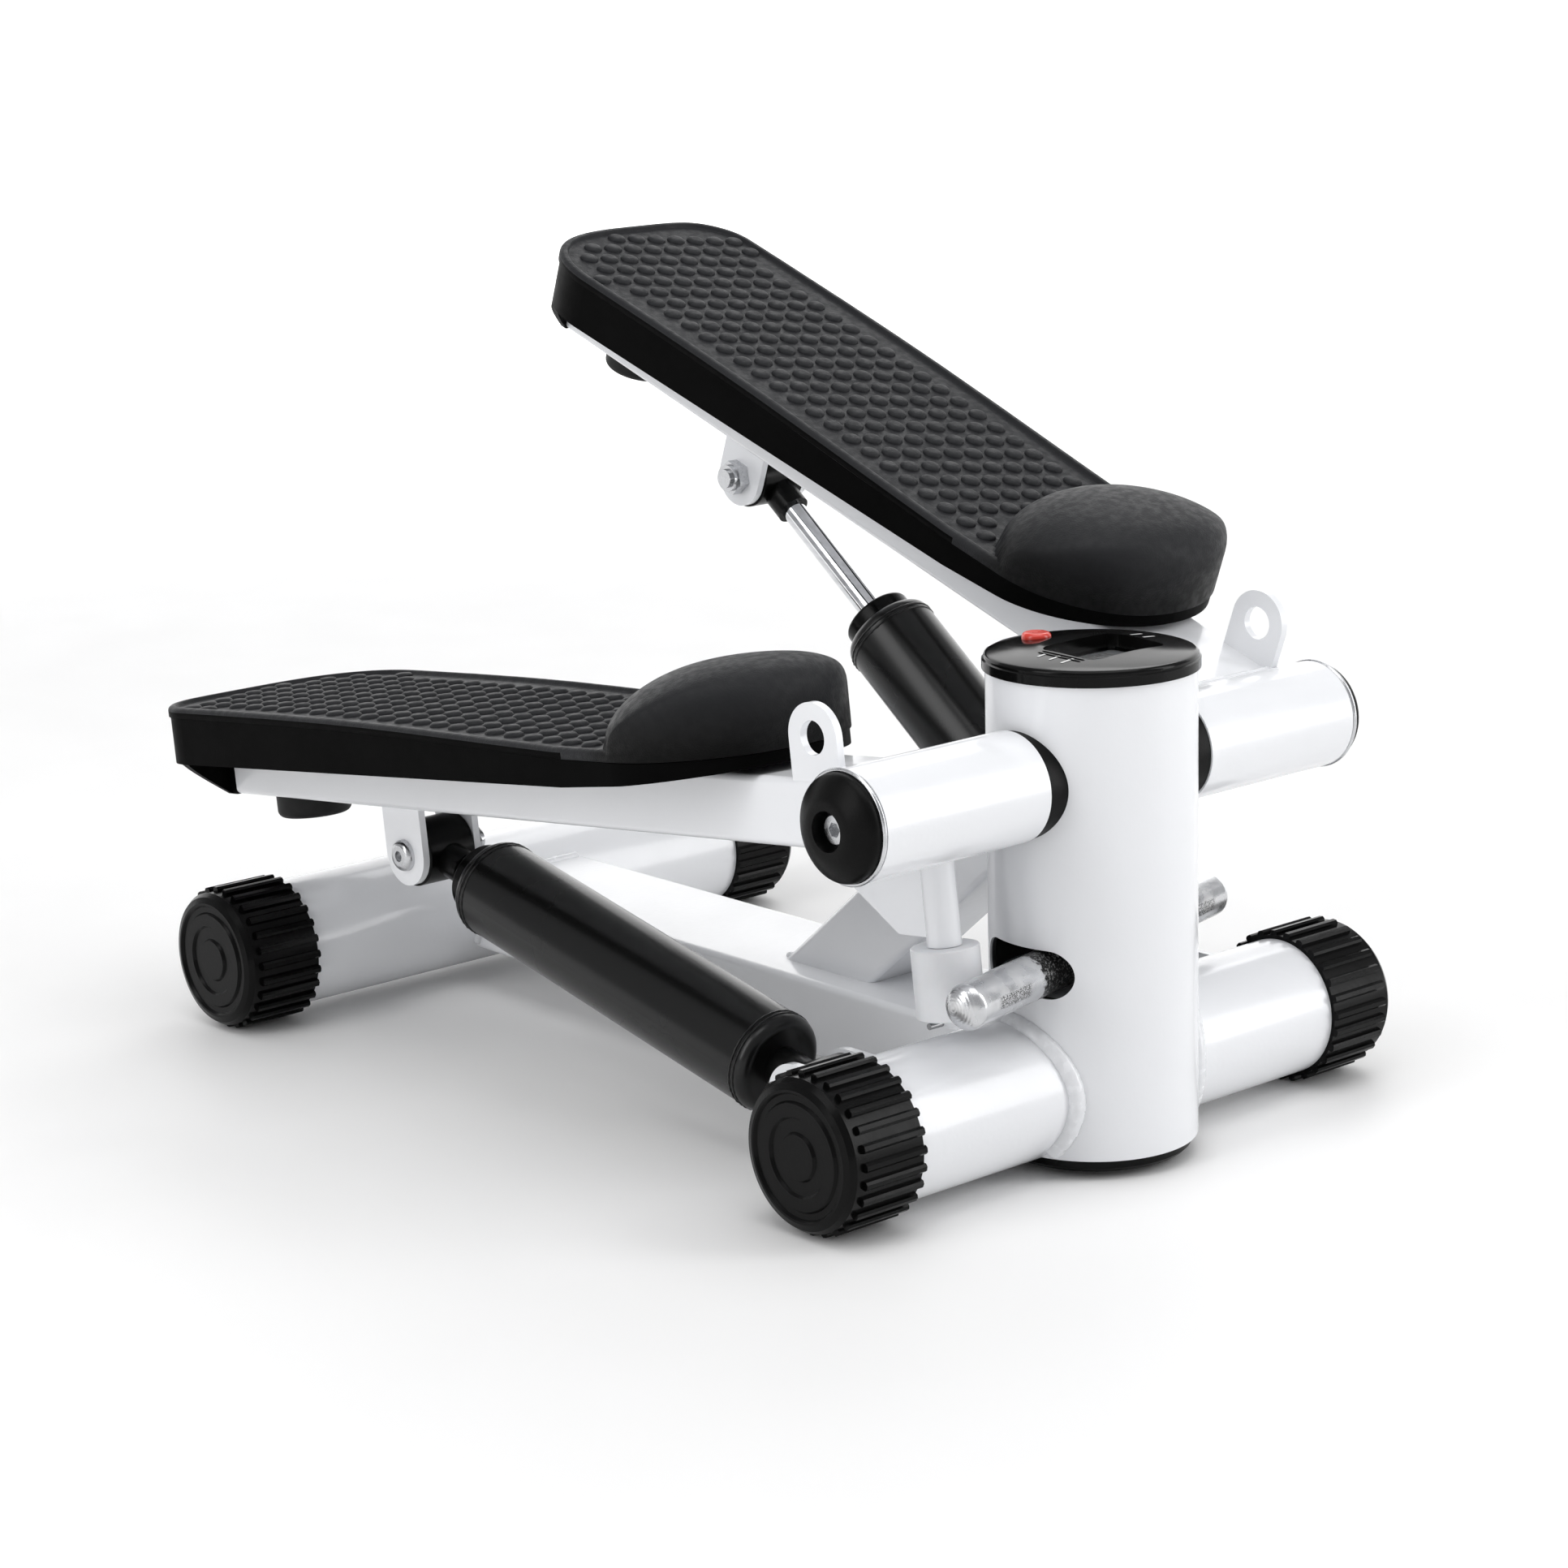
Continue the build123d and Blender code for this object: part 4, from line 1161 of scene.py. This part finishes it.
SEGMENTS = {
    "top": ((0.0, 1.0), "flat"), "middle": ((0.0, 0.0), "flat"), "bottom": ((0.0, -1.0), "flat"),
    "upper_left": ((-1.0, 0.5), "tall"), "upper_right": ((1.0, 0.5), "tall"),
    "lower_left": ((-1.0, -0.5), "tall"), "lower_right": ((1.0, -0.5), "tall"),
}
DIGITS = {
    "0": ("top", "bottom", "upper_left", "upper_right", "lower_left", "lower_right"),
    "2": ("top", "middle", "bottom", "upper_right", "lower_left"),
    "3": ("top", "middle", "bottom", "upper_right", "lower_right"),
    " ": (),
}


DIGIT_WIDTH = 0.56
DIGIT_PITCH = 1.55
DIGIT_STROKE = 0.11
SEGMENT_END = 0.65
INK_THICKNESS = 0.0002
TIMER_HEIGHT = 0.0066
TIMER_SHIFT = -0.0045
COUNT_HEIGHT = 0.0056
COUNT_SHIFT = 0.0050
ROWS_SHIFT = -0.0005


def display_row(text, centre, height, lit, ghost):
    """One row of seven-segment digits, read from the pedal side."""
    width = height * DIGIT_WIDTH
    pitch = width * DIGIT_PITCH
    stroke = height * DIGIT_STROKE
    panel_top = low_high("lcd_panel")[1].z
    for place, digit in enumerate(text):
        x = centre.x - (place - (len(text) - 1) / 2) * pitch
        for name, ((sx, sy), kind) in SEGMENTS.items():
            points, faces = lit if name in DIGITS[digit] else ghost
            cx = x - sx * width / 2
            cy = centre.y - sy * height / 2
            long_half = (width if kind == "flat" else height / 2) / 2 - stroke * SEGMENT_END
            across, down = (long_half, stroke / 2) if kind == "flat" else (stroke / 2, long_half)
            low = Vector((cx - across, cy - down, panel_top))
            high = Vector((cx + across, cy + down, panel_top + INK_THICKNESS))
            add_box(points, faces, low, high)


def display_digits():
    """A timer above a count, with the unlit segments as faint shadows."""
    panel = middle("lcd_panel")
    lit = ([], [])
    ghost = ([], [])
    display_row("0032", panel + Vector((ROWS_SHIFT, TIMER_SHIFT, 0)), TIMER_HEIGHT, lit, ghost)
    display_row("   0", panel + Vector((ROWS_SHIFT, COUNT_SHIFT, 0)), COUNT_HEIGHT, lit, ghost)
    piece("display_digits", *lit, LCD_INK, "base", smooth=False)
    piece("display_shadows", *ghost, LCD_GHOST, "base", smooth=False)


# ---- pivot ends -------------------------------------------------------------------------

RIM_BEAD_R = 0.0009
RIM_SINK = 0.0004


def washer_rims():
    """Rolled edge of the retaining washer at each end of the pivot axle."""
    points = []
    faces = []
    reach = half_size("pivot_axle").x + RIM_BEAD_R
    around = PIVOT_TUBE_R - RIM_SINK
    for sign in SIDES.values():
        path = []
        for a in full_turn(96):
            path.append(PIVOT + Vector((sign * reach, around * math.cos(a), around * math.sin(a))))
        add_strip(points, faces, path, RIM_BEAD_R, closed=True)
    return piece("pivot_washer_rims", points, faces, ZINC, "base")


# ---- dampers ----------------------------------------------------------------------------

CRIMP_R = 0.00042
CRIMP_FROM_END = (0.0012, 0.0032)
CRIMP_RIPPLE = 0.3
CRIMP_RIPPLE_LENGTH = 0.0034
ROUND_TOLERANCE = 0.0001


def crimp_rings(side):
    """Rolled beads near both ends of a damper's tube."""
    place = DAMPERS[side]
    back = place.inverted()
    local = [back @ v.co for v in NODES[f"damper_cylinder_{side}"].data.vertices]
    x_middle = (min(p.x for p in local) + max(p.x for p in local)) / 2
    radius = max(p.z for p in local)
    tube = [p.y for p in local if abs(p.z) > radius - ROUND_TOLERANCE]
    points = []
    faces = []
    places = [min(tube) + gap for gap in CRIMP_FROM_END] + [max(tube) - gap for gap in CRIMP_FROM_END]
    for y in sorted(places):
        ring = []
        for a in full_turn(72):
            ring.append(place @ Vector((x_middle + radius * math.cos(a), y, radius * math.sin(a))))
        add_strip(points, faces, ring, CRIMP_R, closed=True, segments=6,
                  ripple=CRIMP_RIPPLE, ripple_length=CRIMP_RIPPLE_LENGTH)
    return piece(f"damper_crimps_{side}", points, faces, DAMPER_BLACK, f"{side}_cylinder")


# ---- room, light, camera ----------------------------------------------------------------

FLOOR_HALF_WIDTH = 14.0
FLOOR_FRONT = -14.0
BACKDROP_REACH = 9.0
BACKDROP_BEND = 2.5
BACKDROP_TOP = 7.0
BACKDROP_CUTS = 24


def floor():
    """Pale floor that rises into a backdrop far behind the machine."""
    turn = Matrix.Rotation(math.radians(CAMERA_YAW), 3, "Z")
    flat_end = BACKDROP_REACH - BACKDROP_BEND
    profile = [(FLOOR_FRONT, 0.0)]
    for a in steps(0.0, math.pi / 2, BACKDROP_CUTS):
        profile.append((flat_end + BACKDROP_BEND * math.sin(a), BACKDROP_BEND * (1 - math.cos(a))))
    profile.append((BACKDROP_REACH, BACKDROP_TOP))
    points = []
    for y, z in profile:
        for x in (-FLOOR_HALF_WIDTH, FLOOR_HALF_WIDTH):
            points.append(turn @ Vector((x, y, z)))
    faces = [(2 * i, 2 * i + 1, 2 * i + 3, 2 * i + 2) for i in range(len(profile) - 1)]
    mesh = bpy.data.meshes.new("studio_floor")
    mesh.from_pydata([tuple(p) for p in points], [], faces)
    mesh.materials.append(floor_paint())
    for polygon in mesh.polygons:
        polygon.use_smooth = True
    ground = bpy.data.objects.new("studio_floor", mesh)
    bpy.context.scene.collection.objects.link(ground)


AIM_HEIGHT = 0.15
WORLD_COLOUR = (0.97, 0.98, 1.0, 1.0)
WORLD_STRENGTH = 0.42


def softbox(name, azimuth, elevation, distance, size, power):
    """Area light that faces the machine; azimuth 0 is straight in front of it."""
    a = math.radians(azimuth)
    e = math.radians(elevation)
    away = Vector((math.sin(a) * math.cos(e), -math.cos(a) * math.cos(e), math.sin(e)))
    lamp = bpy.data.lights.new(name, "AREA")
    lamp.shape = "RECTANGLE"
    lamp.size, lamp.size_y = size
    lamp.energy = power
    holder = bpy.data.objects.new(name, lamp)
    holder.location = Vector((0, 0, AIM_HEIGHT)) + away * distance
    holder.rotation_euler = away.to_track_quat("Z", "Y").to_euler()
    bpy.context.scene.collection.objects.link(holder)


def lights():
    bpy.context.scene.view_settings.view_transform = "Standard"
    world = bpy.data.worlds.new("studio")
    world.use_nodes = True
    background = world.node_tree.nodes["Background"]
    background.inputs["Color"].default_value = WORLD_COLOUR
    background.inputs["Strength"].default_value = WORLD_STRENGTH
    bpy.context.scene.world = world
    softbox("overhead", -20, 78, 2.2, (2.2, 1.6), 24)
    softbox("left_key", -95, 28, 2.4, (0.9, 2.0), 18)
    softbox("right_fill", 40, 22, 2.4, (0.7, 2.2), 20)
    softbox("back_rim", 123, 42, 2.4, (0.9, 0.9), 5)


CAMERA_YAW = -40.92
CAMERA_PITCH = 13.57
CAMERA_ROLL = -1.51
CAMERA_LENS = 86.72
CAMERA_SENSOR = 36.0
CAMERA_FAR = 50.0
CAMERA_FROM_COLUMN = Vector((-0.9476, -0.9242, 0.4588))


def camera():
    lens = bpy.data.cameras.new("camera")
    lens.sensor_width = CAMERA_SENSOR
    lens.lens = CAMERA_LENS
    lens.clip_end = CAMERA_FAR
    holder = bpy.data.objects.new("camera", lens)
    spot = Vector((COLUMN.x, COLUMN.y, CAD_BOX[0][2])) + CAMERA_FROM_COLUMN
    turn = (Matrix.Rotation(math.radians(CAMERA_YAW), 4, "Z")
            @ Matrix.Rotation(math.radians(90 - CAMERA_PITCH), 4, "X")
            @ Matrix.Rotation(math.radians(CAMERA_ROLL), 4, "Z"))
    holder.matrix_world = Matrix.Translation(spot) @ turn
    bpy.context.scene.collection.objects.link(holder)
    bpy.context.scene.camera = holder


# ---- build ------------------------------------------------------------------------------

finish_nodes()
frame_welds()
for each_side in SIDES:
    arm_welds(each_side)
    post_weld(each_side)
    tread_studs(each_side, pedal_top(each_side))
    crimp_rings(each_side)
washer_rims()
console_details()
display_digits()
floor()
lights()
camera()
